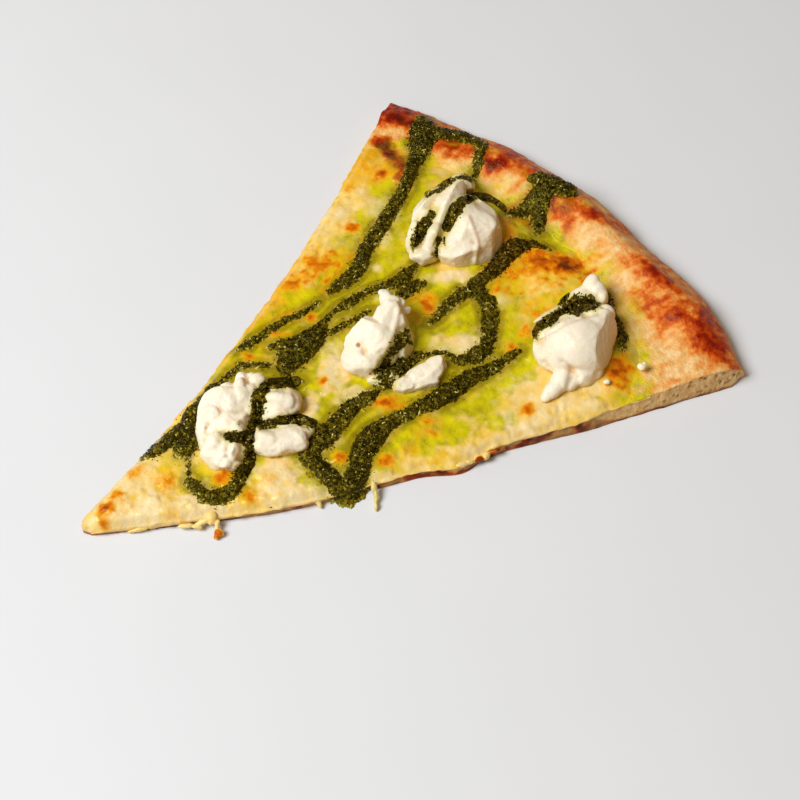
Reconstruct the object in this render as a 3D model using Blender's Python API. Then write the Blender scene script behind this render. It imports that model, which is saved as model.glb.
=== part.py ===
"""A slice of pesto pizza, cut from a large round thin-crust pizza and lying flat.

The dough is one solid with its puffed rim.  The melted cheese is a layer of its own that
runs out to both cuts.  Spoonfuls of soft white cheese sit on it, and ribbons of thick
basil pesto are drizzled over everything.  Metres, +Z up, the tip towards -Y and the rim
towards +Y, the underside on Z = 0 and the origin under the middle of the slice.
"""

import math

import bmesh
import bpy
from mathutils import Vector
from mathutils.bvhtree import BVHTree

MM = 0.001

# --- the cut outline ------------------------------------------------------------------
WEDGE_ANGLE = math.radians(45.2)  # an eighth of the round pizza
TIP_RADIUS = 0.0125  # the blunt tip is this far from where the two cuts would meet
RIM_REACH = (0.2305, 0.2315, 0.2343, 0.2355, 0.2370, 0.2428, 0.2398)  # apex to rim, left to right
SPINE_OFFSET = 0.002  # the middle of the slice lies a little off the line X = 0
SPINE_DRIFT = 0.0165  # and leans this much for each metre towards the rim
APEX_Y = -0.002
TIP_BEND = 0.012  # the soft tip is bent aside by this much
TIP_BEND_FROM = 0.075  # and the bend starts this far from the apex
TIP_BEND_POWER = 1.4
TIP_SLIMMING = 0.0054  # the right cut closes in by this much towards the tip
TIP_SLIMMING_FROM = 0.077
LEFT_CUT_HOLLOW = 0.0034  # the left cut is slightly hollow along its length
LEFT_HOLLOW_FROM = 0.075
LEFT_HOLLOW_LENGTH = 0.155
LEFT_HOLLOW_POWER = 3  # how closely the hollow keeps to the cut
RIGHT_CUT_BULGES = ((0.126, 0.0034, 0.009), (0.175, 0.0012, 0.012))  # place, depth, spread
RIGHT_BULGE_POWER = 5

# --- the dough ------------------------------------------------------------------------
BASE_THICKNESS = 0.0026
SHOULDER_THICKNESS = 0.0090  # dough at the shoulder that leads up to the rim
SHOULDER_FAR = 0.110  # the base starts to thicken this far from the rim's edge
SHOULDER_NEAR = 0.020
RIM_SWELL = (0.0008, 0.0024, 0.0042, 0.0048, 0.0056, 0.0048, 0.0004)  # extra height, left to right
RIM_CREST_IN = 0.0125  # the rim's crest lies this far inside its outer edge
RIM_CREST_SPREAD = 0.0085
LEFT_RIM_DROP = 0.0022  # the rim is lower at the left cut
RIM_ROUNDING = 0.0105  # width of the rim's rounded outer flank
RIM_FOOT_IN = 0.0045  # the rim rolls under by this much before it touches the table
RIM_SIDE_LOW = 0.0030  # lowest height of the rim's outermost line
RIM_ROWS_SHARE = 0.30  # share of the dough's rows that crowd together round the rim
RIM_ROWS_REACH = 0.034  # and how far in from the rim's edge they reach
RIM_ROWS_POWER = 1.6

# --- the melted cheese ----------------------------------------------------------------
CHEESE_EDGE_IN = (0.0270, 0.0260, 0.0270, 0.0280, 0.0275, 0.0330, 0.0430)  # from the rim's edge
CHEESE_THICKNESS = 0.0030
CHEESE_THIN_EDGE = 0.0008
CHEESE_SIDE_THINNING = 0.0010  # thinner towards the cuts
CHEESE_TAPER = 0.014
CHEESE_WAVES = ((0.031, 0.0, 0.0005), (0.019, 1.1, 0.0003))  # wavelength, phase, height
CHEESE_ROWS_POWER = 1.15
GAP = 0.0004  # clear space kept between touching pieces

# --- spoonfuls of soft white cheese ---------------------------------------------------
# Each spoonful is a few round lobes run together, then flattened by spoon cuts.
# A lobe is its middle (x, y and height above the cheese) and its half sizes; a cut is a
# direction and how far it lies from the spoonful's middle.  All in millimetres.
SPOONFULS = {
    "ricotta_rim": {
        "middle": (-17, 183, 5),
        "lobes": (
            ((-13, 185, 4.5), (11.0, 13.5, 12.0)),
            ((-28.5, 191, 6.0), (7.5, 7.5, 9.0)),
            ((-26.0, 182, 4.5), (8.0, 8.5, 9.0)),
            ((-23.0, 172, 2.5), (7.5, 7.5, 6.5)),
        ),
        "cuts": (((0.62, 0.60, 0.50), 18.0),),
    },
    "ricotta_middle": {
        "middle": (-1, 129, 3),
        "lobes": (
            ((0, 128, 3.0), (10.0, 11.5, 8.5)),
            ((-1.5, 121.5, 1.0), (7.0, 8.0, 6.0)),
            ((-9, 139, 8.5), (4.5, 4.5, 8.0)),
            ((4.5, 134.5, 1.5), (6.5, 7.0, 6.5)),
            ((6, 122, 0.5), (5.5, 6.0, 4.0)),
        ),
        "cuts": (((0.55, 0.60, 0.58), 9.5),),
    },
    "ricotta_lobe": {
        "middle": (19.3, 132, 1.5),
        "lobes": (((19.3, 132, 1.0), (5.0, 11.5, 5.0)),),
        "cuts": (((0.60, 0.0, 0.80), 4.4),),
    },
    "ricotta_cut_side": {
        "middle": (46, 180, 4),
        "lobes": (
            ((46, 180, 3.5), (11.0, 12.0, 10.0)),
            ((48, 188, 3.0), (9.0, 9.0, 9.0)),
            ((40, 176, 2.0), (8.0, 8.0, 8.0)),
            ((44, 171, 1.0), (7.5, 8.0, 6.5)),
            ((53, 173, 1.5), (8.5, 9.0, 7.5)),
            ((54, 163, 0.5), (4.5, 6.5, 3.5)),
            ((37, 198, 6.0), (5.0, 5.0, 7.0)),
        ),
        "cuts": (((0.80, 0.45, 0.40), 14.0),),
    },
    "ricotta_tip": {
        "middle": (-3, 74, 1),
        "lobes": (
            ((-3, 75, 0.5), (9.0, 9.0, 5.0)),
            ((-12, 69, 2.0), (8.5, 8.5, 7.5)),
            ((-13, 78, 2.5), (7.0, 6.5, 6.5)),
            ((-15, 84.5, 2.0), (4.5, 4.5, 4.5)),
            ((-2, 60, 1.5), (7.5, 7.0, 6.5)),
            ((-2, 86, 1.5), (6.5, 7.0, 6.0)),
            ((9, 80, 1.5), (7.0, 8.5, 6.0)),
            ((5.5, 74.5, 2.0), (4.0, 4.0, 4.0)),
        ),
        "cuts": (),
    },
}
SPOONFUL_SEGMENTS = 28
SPOONFUL_RINGS = 16
SPOONFUL_SMOOTHING = 0.35  # share of each smoothing step
LOBE_BLEND = 14.0  # how sharply one lobe gives way to the next

# --- pesto ribbons --------------------------------------------------------------------
# Each ribbon is a route of (x, y, half width) seen from above, in millimetres.
RIBBONS = {
    "pesto_left_long": (
        (-69, 210, 3.4), (-65, 205, 4.4), (-61, 200, 4.2), (-54.5, 189, 3.1), (-48, 179, 3.1),
        (-43, 168, 3.2), (-39.5, 157.5, 3.3), (-34, 148, 3.3), (-31.5, 138.5, 2.9), (-31.5, 131, 1.4),
    ),
    "pesto_left_short": (
        (-30.5, 125, 1.0), (-30.5, 117, 1.6), (-32.5, 108, 1.8), (-33, 98, 1.9), (-33.3, 91, 1.6),
    ),
    "pesto_rim_hook": ((-48, 219, 2.0), (-43, 214.5, 2.2), (-40, 210.5, 2.2), (-37.8, 208, 1.6)),
    "pesto_rim_top": (
        (-17, 227, 3.6), (-13.8, 219.5, 3.2), (-9, 214, 2.6), (-5, 211, 2.4), (-1.5, 208, 1.6),
    ),
    "pesto_rim_branch": ((-17.5, 212.5, 1.3), (-17, 208, 1.6), (-16, 204, 1.4)),
    "pesto_band": (
        (8, 204, 1.2), (5.2, 201, 2.0), (3, 196, 2.6), (2.4, 191, 2.6), (2.4, 186, 2.4),
        (2.2, 179.5, 2.2), (2.0, 174, 2.0),
    ),
    "pesto_band_tail": ((2, 169.5, 2.6), (2, 163, 2.6), (2.6, 156, 2.0), (3.3, 149.5, 1.2)),
    "pesto_loop": (
        (6.5, 171, 2.6), (11, 170.3, 3.2), (17, 166.5, 3.2), (21.8, 161.5, 3.0), (25, 156, 3.4),
        (24.8, 151, 3.2), (22.3, 146.3, 2.2),
    ),
    "pesto_patch_strand": (
        (-19.5, 162, 1.4), (-18.3, 155.5, 2.8), (-19.5, 148.5, 2.0), (-22, 141, 1.5), (-23.2, 130, 2.0),
        (-23.4, 124.5, 1.2),
    ),
    "pesto_patch_knot": ((-11, 159, 1.6), (-12.5, 155, 2.6), (-13.5, 150.5, 1.6)),
    "pesto_patch": (
        (-21.8, 120, 2.0), (-20, 115, 4.2), (-18.8, 108.5, 5.4), (-17, 102, 5.2), (-14.5, 97.5, 2.4),
    ),
    "pesto_tip_arc": (
        (-22, 93.5, 1.4), (-26, 88.5, 1.5), (-27.2, 83, 1.5), (-26, 75, 2.0), (-24.5, 69, 2.2),
    ),
    "pesto_tip_patch": (
        (-22.5, 63, 2.4), (-19.4, 57, 3.8), (-17.8, 51, 3.8), (-18.2, 45, 3.0), (-19.3, 40, 1.6),
    ),
    "pesto_tip_bowl": (
        (8.4, 61, 1.8), (10.9, 57, 2.6), (12, 52, 3.2), (8.6, 46.3, 3.0), (3, 45.6, 2.4), (-1, 44.6, 1.5),
    ),
    "pesto_turn": (
        (13.8, 116, 1.8), (13.4, 109, 3.0), (13.6, 101, 3.4), (15.5, 93, 4.2), (19, 85.5, 4.0),
        (24.5, 82.5, 3.2), (30, 82.3, 2.6),
    ),
    "pesto_right_long": (
        (34, 165, 1.2), (33.2, 158, 2.0), (32, 149.5, 3.0), (30.5, 139, 3.9), (29.4, 130, 4.0),
        (27.6, 119, 2.8), (26.4, 109, 3.4), (28, 99, 4.2), (33.5, 91.5, 3.6),
    ),
    "pesto_by_cut_side_ricotta": ((48, 203, 1.1), (52, 201, 1.6), (56, 198, 1.7), (59.5, 194, 1.2)),
    "pesto_on_rim_ricotta": (
        (-22.3, 191, 1.2), (-22.4, 187, 1.9), (-20.5, 182.5, 2.0), (-18, 177.8, 1.7), (-16.7, 174, 1.1),
    ),
    "pesto_on_rim_ricotta_fold": (
        (-26.3, 178.5, 1.2), (-26.2, 174.8, 1.8), (-25.4, 171, 1.8), (-24.4, 168, 1.3),
    ),
    "pesto_on_tip_ricotta": (
        (-10, 83.5, 1.4), (-7, 80.4, 2.1), (-3.9, 77.6, 2.0), (-1, 74.6, 1.6), (0.2, 71, 1.5),
    ),
    "pesto_on_tip_ricotta_fold": ((0, 66.5, 1.4), (-2, 64.3, 1.4), (-3.5, 62.5, 0.9)),
    "pesto_on_tip_ricotta_cross": ((1.8, 78, 1.0), (3.2, 80.8, 1.3), (4.4, 84, 1.3), (5.4, 86.5, 1.0)),
    "pesto_on_cut_side_ricotta": (
        (42.5, 192, 1.3), (40, 189.5, 2.2), (37.2, 185, 1.8), (35.6, 179, 1.7), (35.5, 174, 1.2),
    ),
    "pesto_on_middle_ricotta": (
        (4.2, 137.5, 1.0), (5.6, 134.7, 1.9), (7.2, 131.5, 2.0), (8.1, 128.3, 1.6), (8.8, 125.5, 1.1),
    ),
}
RIBBON_STEP = 0.0045  # length of one facet along a ribbon
RIBBON_ACROSS = 4  # facets across a ribbon
RIBBON_HEIGHT = 0.0018
RIBBON_THIN_EDGE = 0.0006
RIBBON_END_WIDTH = 0.45  # the ends are narrower and flatter by these shares
RIBBON_END_HEIGHT = 0.3
RIBBON_GAP = 0.0006
RIBBON_FEEL = 0.0016  # a ribbon clears the highest point this far around it
SPOONFUL_FEEL = 0.0022  # and a spoonful this far

GRID_ACROSS = 18
DOUGH_ROWS = 34
CHEESE_ROWS = 26
SHARP_ANGLE = math.radians(50)  # edges sharper than this show as edges
SKY = 1.0  # heights are felt for from up here
FEELERS = 8


def eased(share):
    """The share held to 0 to 1, leaving and arriving gently."""
    held = min(max(share, 0.0), 1.0)
    return held * held * (3 - 2 * held)


def blend_between(values, share):
    """The smooth value at share, 0 to 1, along evenly spaced values."""
    place = min(max(share, 0.0), 1.0) * (len(values) - 1)
    first = min(int(place), len(values) - 2)
    part = eased(place - first)
    return values[first] * (1 - part) + values[first + 1] * part


def gaussian(distance, spread):
    """A bell of height 1 that fades over spread."""
    return math.exp(-((distance / spread) ** 2))


def spine_x(y):
    """The middle of the slice at y, with the tip bent aside."""
    bend = max(0.0, (TIP_BEND_FROM - y) / TIP_BEND_FROM) ** TIP_BEND_POWER
    return SPINE_OFFSET - SPINE_DRIFT * y - TIP_BEND * bend


def rim_radius(across):
    """How far the rim reaches from the apex, where across runs -1 (left) to 1 (right)."""
    return blend_between(RIM_REACH, (across + 1) / 2)


def plan_point(across, radius):
    """The point seen from above at that share across and that distance from the apex."""
    angle = across * WEDGE_ANGLE / 2
    y = radius * math.cos(angle) + APEX_Y
    x = radius * math.sin(angle) + spine_x(y)
    along_hollow = min(max((radius - LEFT_HOLLOW_FROM) / LEFT_HOLLOW_LENGTH, 0.0), 1.0)
    x += LEFT_CUT_HOLLOW * math.sin(math.pi * along_hollow) * max(0.0, -across) ** LEFT_HOLLOW_POWER
    x -= TIP_SLIMMING * max(0.0, 1 - radius / TIP_SLIMMING_FROM) * (across + 1) / 2
    for place, depth, spread in RIGHT_CUT_BULGES:
        x += depth * gaussian(radius - place, spread) * max(0.0, across) ** RIGHT_BULGE_POWER
    return Vector((x, y))


def dough_height(across, inside):
    """Height of the dough at a distance inside the rim's outer edge."""
    ramp = (SHOULDER_FAR - inside) / (SHOULDER_FAR - SHOULDER_NEAR)
    ramp = min(max(ramp, 0.0), 1.0) ** 2
    height = BASE_THICKNESS + (SHOULDER_THICKNESS - BASE_THICKNESS) * ramp
    height -= LEFT_RIM_DROP * ramp * max(0.0, -across) ** 2
    swell = blend_between(RIM_SWELL, (across + 1) / 2)
    height += swell * gaussian(inside - RIM_CREST_IN, RIM_CREST_SPREAD)
    if inside < RIM_ROUNDING:
        fall = 1 - inside / RIM_ROUNDING
        height = RIM_SIDE_LOW + (height - RIM_SIDE_LOW) * math.sqrt(max(0.0, 1 - fall * fall))
    return height


def cheese_thickness(across, inside, x, y):
    """Thickness of the melted cheese, thin where it runs out towards the rim."""
    edge = inside - blend_between(CHEESE_EDGE_IN, (across + 1) / 2)
    full = CHEESE_THICKNESS - CHEESE_SIDE_THINNING * abs(across) ** 3
    for length, phase, height in CHEESE_WAVES:
        full += height * math.sin(2 * math.pi * x / length + phase) * math.cos(2 * math.pi * y / length)
    return CHEESE_THIN_EDGE + (full - CHEESE_THIN_EDGE) * eased(edge / CHEESE_TAPER)


def material(name, colour, roughness):
    """A plain material of that sRGB colour, as three shares of 1."""
    made = bpy.data.materials.new(name)
    made.use_nodes = True
    shader = made.node_tree.nodes["Principled BSDF"]
    linear = [channel**2.2 for channel in colour]
    shader.inputs["Base Color"].default_value = (*linear, 1.0)
    shader.inputs["Roughness"].default_value = roughness
    shader.inputs["Metallic"].default_value = 0.0
    made.diffuse_color = (*linear, 1.0)
    return made


def finished(name, shape, finish):
    """The bmesh as a smooth-shaded object with that finish."""
    bmesh.ops.recalc_face_normals(shape, faces=shape.faces)
    mesh = bpy.data.meshes.new(name)
    shape.to_mesh(mesh)
    shape.free()
    mesh.shade_smooth()
    mesh.set_sharp_from_angle(angle=SHARP_ANGLE)
    mesh.materials.append(finish)
    made = bpy.data.objects.new(name, mesh)
    bpy.context.scene.collection.objects.link(made)
    return made


def grid_slab(columns, rows, place_low, place_high):
    """A closed slab: a grid whose faces are extruded, both sides placed by a function.

    place_low and place_high take the shares (across, along), each 0 to 1, and return
    the point of the underside and of the top there.
    """
    shape = bmesh.new()
    bmesh.ops.create_grid(shape, x_segments=columns, y_segments=rows, size=0.5)
    low = {v: (v.co.x + 0.5, v.co.y + 0.5) for v in shape.verts}
    raised = bmesh.ops.extrude_face_region(shape, geom=shape.faces[:], use_keep_orig=True)
    high = {v: (v.co.x + 0.5, v.co.y + 0.5) for v in raised["geom"] if isinstance(v, bmesh.types.BMVert)}
    for vertex, shares in low.items():
        vertex.co = place_low(*shares)
    for vertex, shares in high.items():
        vertex.co = place_high(*shares)
    return shape


def dough_row(along, across, near_edge):
    """Distance inside the rim's edge for a row: rows crowd together round the rim."""
    if along > 1 - RIM_ROWS_SHARE:
        part = (1 - along) / RIM_ROWS_SHARE
        return near_edge + (RIM_ROWS_REACH - near_edge) * part**RIM_ROWS_POWER
    reach = rim_radius(across) - TIP_RADIUS
    return RIM_ROWS_REACH + (reach - RIM_ROWS_REACH) * (1 - along / (1 - RIM_ROWS_SHARE))


def dough(finish):
    """The dough base with its rim, flat underneath."""

    def high(share, along):
        across = 2 * share - 1
        inside = dough_row(along, across, 0.0)
        point = plan_point(across, rim_radius(across) - inside)
        return Vector((point.x, point.y, dough_height(across, inside)))

    def low(share, along):
        across = 2 * share - 1
        inside = dough_row(along, across, RIM_FOOT_IN)
        point = plan_point(across, rim_radius(across) - inside)
        return Vector((point.x, point.y, 0.0))

    return finished("dough", grid_slab(GRID_ACROSS, DOUGH_ROWS, low, high), finish)


def melted_cheese(finish):
    """The melted cheese, from the tip to just short of the rim."""

    def place(share, along):
        across = 2 * share - 1
        edge = blend_between(CHEESE_EDGE_IN, share)
        reach = rim_radius(across) - TIP_RADIUS - edge
        inside = edge + reach * (1 - along) ** CHEESE_ROWS_POWER
        return across, inside, plan_point(across, rim_radius(across) - inside)

    def low(share, along):
        across, inside, point = place(share, along)
        return Vector((point.x, point.y, dough_height(across, inside) + GAP))

    def high(share, along):
        across, inside, point = place(share, along)
        base = dough_height(across, inside) + GAP
        return Vector((point.x, point.y, base + cheese_thickness(across, inside, point.x, point.y)))

    return finished("melted_cheese", grid_slab(GRID_ACROSS, CHEESE_ROWS, low, high), finish)


def spoonful(name, middle, lobes, cuts, finish, height_below):
    """One spoonful: lobes run together, flattened by the spoon, resting on the cheese."""
    shape = bmesh.new()
    bmesh.ops.create_uvsphere(
        shape, u_segments=SPOONFUL_SEGMENTS, v_segments=SPOONFUL_RINGS, radius=1.0
    )
    middle = MM * Vector(middle)
    bed = Vector((0.0, 0.0, height_below(middle.x, middle.y)))
    round_lobes = [(MM * Vector(place) - middle, MM * Vector(half)) for place, half in lobes]
    for vertex in shape.verts:
        direction = vertex.co.normalized()
        reaches = [lobe_reach(direction, place, half) for place, half in round_lobes]
        scale = max(reaches)
        total = sum(math.exp(LOBE_BLEND * (reach / scale - 1)) for reach in reaches)
        reach = scale * (1 + math.log(total) / LOBE_BLEND)
        for toward, limit in cuts:
            facing = direction.dot(Vector(toward).normalized())
            if facing > 0:
                reach = min(reach, MM * limit / facing)
        vertex.co = bed + middle + direction * reach
    bmesh.ops.smooth_vert(
        shape, verts=shape.verts, factor=SPOONFUL_SMOOTHING,
        use_axis_x=True, use_axis_y=True, use_axis_z=True,
    )
    for vertex in shape.verts:
        floor = highest_around(vertex.co.x, vertex.co.y, height_below, SPOONFUL_FEEL) + GAP
        vertex.co.z = max(vertex.co.z, floor)
    return finished(name, shape, finish)


def lobe_reach(direction, place, half):
    """Distance from the middle along direction to the far side of one lobe, or 0."""
    scaled = Vector((direction.x / half.x, direction.y / half.y, direction.z / half.z))
    start = Vector((place.x / half.x, place.y / half.y, place.z / half.z))
    along = scaled.dot(start)
    square = scaled.length_squared
    inside = along * along - square * (start.length_squared - 1)
    return 0.0 if inside < 0 else max(0.0, (along + math.sqrt(inside)) / square)


def smooth_route(points, step):
    """Points about a step apart on a smooth curve through the given ones."""
    route = [2 * points[0] - points[1], *points, 2 * points[-1] - points[-2]]
    made = []
    for a, b, c, d in zip(route, route[1:], route[2:], route[3:]):
        count = max(1, round((c - b).length / step))
        for i in range(count):
            t = i / count
            made.append(
                0.5 * (2 * b + (c - a) * t + (2 * a - 5 * b + 4 * c - d) * t * t
                       + (3 * b - a - 3 * c + d) * t * t * t)
            )
    return [*made, route[-2]]


def ribbon(name, points, finish, height_below):
    """One ribbon of pesto, draped over whatever lies below it, with rounded ends."""
    route = smooth_route([MM * Vector(point) for point in points], RIBBON_STEP)
    last = len(route) - 1

    def place(share, along):
        index = min(round(along * last), last)
        centre = route[index]
        ahead = route[min(index + 1, last)]
        behind = route[max(index - 1, 0)]
        run = Vector((ahead.x - behind.x, ahead.y - behind.y)).normalized()
        half = centre.z * (RIBBON_END_WIDTH if index in (0, last) else 1.0)
        side = (2 * share - 1) * half
        return Vector((centre.x + run.y * side, centre.y - run.x * side))

    def low(share, along):
        point = place(share, along)
        floor = highest_around(point.x, point.y, height_below, RIBBON_FEEL)
        return Vector((point.x, point.y, floor + RIBBON_GAP))

    def high(share, along):
        point = low(share, along)
        crown = math.sqrt(1 - (2 * share - 1) ** 2)
        if round(along * last) in (0, last):
            crown *= RIBBON_END_HEIGHT
        point.z += RIBBON_THIN_EDGE + (RIBBON_HEIGHT - RIBBON_THIN_EDGE) * crown
        return point

    return finished(name, grid_slab(RIBBON_ACROSS, last, low, high), finish)


def height_of(objects):
    """A function that gives the greatest height of these objects' surfaces at (x, y)."""
    trees = []
    for made in objects:
        shape = bmesh.new()
        shape.from_mesh(made.data)
        trees.append(BVHTree.FromBMesh(shape))
        shape.free()

    def height(x, y):
        start = Vector((x, y, SKY))
        hits = [tree.ray_cast(start, Vector((0, 0, -1)))[0] for tree in trees]
        return max((hit.z for hit in hits if hit is not None), default=0.0)

    return height


def highest_around(x, y, height_below, feel):
    """The greatest height at (x, y) and at places that far around it."""
    around = [height_below(x, y)]
    for turn in range(FEELERS):
        angle = 2 * math.pi * turn / FEELERS
        around.append(height_below(x + feel * math.cos(angle), y + feel * math.sin(angle)))
    return max(around)


def centre_on_origin(objects, reference):
    """Moves every mesh so that the reference's box is centred on the Z axis."""
    corners = [vertex.co for vertex in reference.data.vertices]
    middle = Vector((
        (min(c.x for c in corners) + max(c.x for c in corners)) / 2,
        (min(c.y for c in corners) + max(c.y for c in corners)) / 2,
        0.0,
    ))
    for made in objects:
        for vertex in made.data.vertices:
            vertex.co -= middle


def main():
    """Clears the scene and builds the slice."""
    for old in list(bpy.data.objects):
        bpy.data.objects.remove(old)
    crust = material("baked_dough", (0.80, 0.55, 0.30), 0.75)
    melted = material("melted_cheese", (0.89, 0.80, 0.40), 0.35)
    white = material("soft_white_cheese", (0.95, 0.92, 0.85), 0.45)
    green = material("basil_pesto", (0.27, 0.30, 0.10), 0.40)

    base = dough(crust)
    cheese = melted_cheese(melted)
    bed = height_of([base, cheese])
    mounds = [
        spoonful(name, s["middle"], s["lobes"], s["cuts"], white, bed) for name, s in SPOONFULS.items()
    ]
    top = height_of([base, cheese, *mounds])
    ribbons = [ribbon(name, points, green, top) for name, points in RIBBONS.items()]
    centre_on_origin([base, cheese, *mounds, *ribbons], base)


main()
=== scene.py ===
"""The looks of a slice of pesto pizza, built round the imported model.

Everything is worked out in millimetres in the slice's own plan, with the point where the two
cuts would meet at (0, 0) and the rim towards +Y, and is put into the model's frame when a
mesh is finished.
"""

import itertools
import logging
import math
from dataclasses import dataclass
from enum import Enum

import bmesh
import bpy
import numpy as np
from bmesh.types import BMEdge, BMVert, BMesh
from bpy.types import ID, Material, Mesh, Node, NodeSocket, NodeTree, Object
from mathutils import Matrix, Vector
from mathutils.bvhtree import BVHTree


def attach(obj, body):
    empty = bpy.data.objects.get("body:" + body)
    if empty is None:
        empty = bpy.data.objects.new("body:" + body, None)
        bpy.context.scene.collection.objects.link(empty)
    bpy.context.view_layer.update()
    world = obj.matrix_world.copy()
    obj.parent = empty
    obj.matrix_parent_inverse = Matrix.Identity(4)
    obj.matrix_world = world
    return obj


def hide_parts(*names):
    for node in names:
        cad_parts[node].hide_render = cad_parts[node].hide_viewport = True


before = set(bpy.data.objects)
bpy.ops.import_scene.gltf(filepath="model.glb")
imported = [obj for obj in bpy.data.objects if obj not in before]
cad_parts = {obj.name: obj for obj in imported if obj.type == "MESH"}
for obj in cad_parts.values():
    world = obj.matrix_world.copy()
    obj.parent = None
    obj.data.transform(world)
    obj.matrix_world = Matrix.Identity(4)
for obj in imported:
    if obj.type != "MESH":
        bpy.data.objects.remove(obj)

MM = 0.001
PLAN_TO_MODEL = np.array((-0.238, -121.621, 0.0))  # mm, from the slice's plan to the model's frame
PICTURE_SIZE = 800  # the picture's own units across
ROOT = "root"

log = logging.getLogger("pizza_slice")


# small helpers


def eased(share: np.ndarray) -> np.ndarray:
    """The share held to 0 to 1, leaving and arriving gently."""
    held = np.clip(share, 0.0, 1.0)
    return held * held * (3 - 2 * held)


def hashed(cells: np.ndarray, seed: int) -> np.ndarray:
    """Random numbers from 0 to 1, one for each whole-numbered cell.

    Args:
        cells: Whole numbers, three to a row.
        seed: Another seed gives other numbers.

    Returns:
        One number for each row.
    """
    mixed = cells[..., 0] * 73856093 ^ cells[..., 1] * 19349663 ^ cells[..., 2] * 83492791
    mixed = (mixed ^ seed * 2654435761) & 0xFFFFFFFF
    mixed = ((mixed ^ mixed >> 13) * 1274126177) & 0xFFFFFFFF
    mixed = ((mixed ^ mixed >> 16) * 668265263) & 0xFFFFFFFF
    return ((mixed ^ mixed >> 15) & 0xFFFFFF) / 0xFFFFFF


def swells(points: np.ndarray, size: float, seed: int, octaves: int = 1) -> np.ndarray:
    """Smooth ups and downs of about a size, from -1 to 1.

    Args:
        points: Places in mm, three numbers to a row.
        size: Width of one swell in mm.
        seed: Chooses the pattern.
        octaves: How many finer patterns are added, each half as wide and half as high.

    Returns:
        One height for each place.
    """
    total = np.zeros(len(points))
    amount, whole = 1.0, 0.0
    for octave in range(octaves):
        scaled = points / size * 2**octave + 0.37 * octave
        cell = np.floor(scaled).astype(np.int64)
        part = scaled - cell
        part = part * part * (3 - 2 * part)
        value = np.zeros(len(points))
        for corner in itertools.product((0, 1), repeat=3):
            share = np.prod(np.where(np.array(corner) == 1, part, 1 - part), axis=1)
            value += share * hashed(cell + np.array(corner), seed + octave)
        total += amount * (2 * value - 1)
        whole += amount
        amount *= 0.5
    return total / whole


@dataclass(frozen=True)
class Swells:
    """One pattern of smooth ups and downs: its width in mm, what chooses it, and its height."""

    size: float
    seed: int
    octaves: int = 1
    high: float = 1.0

    def at(self, points: np.ndarray) -> np.ndarray:
        """The height at each place."""
        return self.high * swells(points, self.size, self.seed, self.octaves)


def grains(points: np.ndarray, size: float, seed: int) -> tuple[np.ndarray, np.ndarray]:
    """Grains packed side by side.

    Args:
        points: Places in mm, three numbers to a row.
        size: Width of a grain in mm.
        seed: Chooses the pattern.

    Returns:
        The distance to the nearest grain's middle, in grains, and that grain's own number, 0 to 1.
    """
    scaled = points / size
    cell = np.floor(scaled).astype(np.int64)
    nearest = np.full(len(points), 9.0)
    own = np.zeros(len(points))
    for step in itertools.product((-1, 0, 1), repeat=3):
        there = cell + np.array(step)
        middle = there + np.stack([hashed(there, seed + axis) for axis in range(3)], axis=1)
        gap = np.linalg.norm(scaled - middle, axis=1)
        closer = gap < nearest
        own = np.where(closer, hashed(there, seed + 3), own)
        nearest = np.where(closer, gap, nearest)
    return nearest, own


def flat(x: np.ndarray, y: np.ndarray) -> np.ndarray:
    """Places at height 0, three numbers to a row."""
    return np.stack([x, y, np.zeros_like(x)], axis=1)


def smooth_route(points: tuple, step: float) -> np.ndarray:
    """Places about a step apart on a smooth curve through the given ones.

    Args:
        points: Rows of numbers, of which the first two are the place.
        step: Wanted distance between places.

    Returns:
        Rows of as many numbers.
    """
    given = np.array(points, float)
    route = np.vstack([2 * given[0] - given[1], given, 2 * given[-1] - given[-2]])
    made = []
    for a, b, c, d in zip(route, route[1:], route[2:], route[3:]):
        count = max(1, round(float(np.linalg.norm((c - b)[:2])) / step))
        for i in range(count):
            t = i / count
            made.append(
                0.5
                * (2 * b + (c - a) * t + (2 * a - 5 * b + 4 * c - d) * t * t
                   + (3 * b - a - 3 * c + d) * t**3)
            )
    return np.array([*made, given[-1]])


def reach_of_routes(
    x: np.ndarray, y: np.ndarray, routes: list[np.ndarray]
) -> tuple[np.ndarray, np.ndarray]:
    """How far places lie outside strokes of changing width.

    Args:
        x: Places, first number.
        y: Places, second number.
        routes: Strokes, as rows of place and half width.

    Returns:
        The distance beyond the nearest stroke's edge, negative inside it, and the half width there.
    """
    nearest = np.full(len(x), 1e3)
    half = np.ones(len(x))
    for route in routes:
        for a, b in zip(route, route[1:]):
            run = b[:2] - a[:2]
            square = float(run @ run) or 1e-9
            t = np.clip(((x - a[0]) * run[0] + (y - a[1]) * run[1]) / square, 0, 1)
            width = a[2] + (b[2] - a[2]) * t
            gap = np.hypot(x - a[0] - run[0] * t, y - a[1] - run[1] * t) - width
            closer = gap < nearest
            half = np.where(closer, width, half)
            nearest = np.where(closer, gap, nearest)
    return nearest, half


def turned(right: np.ndarray, up: np.ndarray, degrees: float) -> tuple[np.ndarray, np.ndarray]:
    """Two directions, both turned by an angle from the first towards the second."""
    turn = math.radians(degrees)
    return math.cos(turn) * right + math.sin(turn) * up, math.cos(turn) * up - math.sin(turn) * right


def matrix_of(*columns: np.ndarray) -> Matrix:
    """The matrix with these four columns of three numbers."""
    return Matrix([*np.stack(columns, axis=1).tolist(), (0.0, 0.0, 0.0, 1.0)])


def placed(name: str, data: ID) -> Object:
    """A new object of the scene, made of the data."""
    made = bpy.data.objects.new(name, data)
    bpy.context.scene.collection.objects.link(made)
    return made


# the viewpoint


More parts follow.
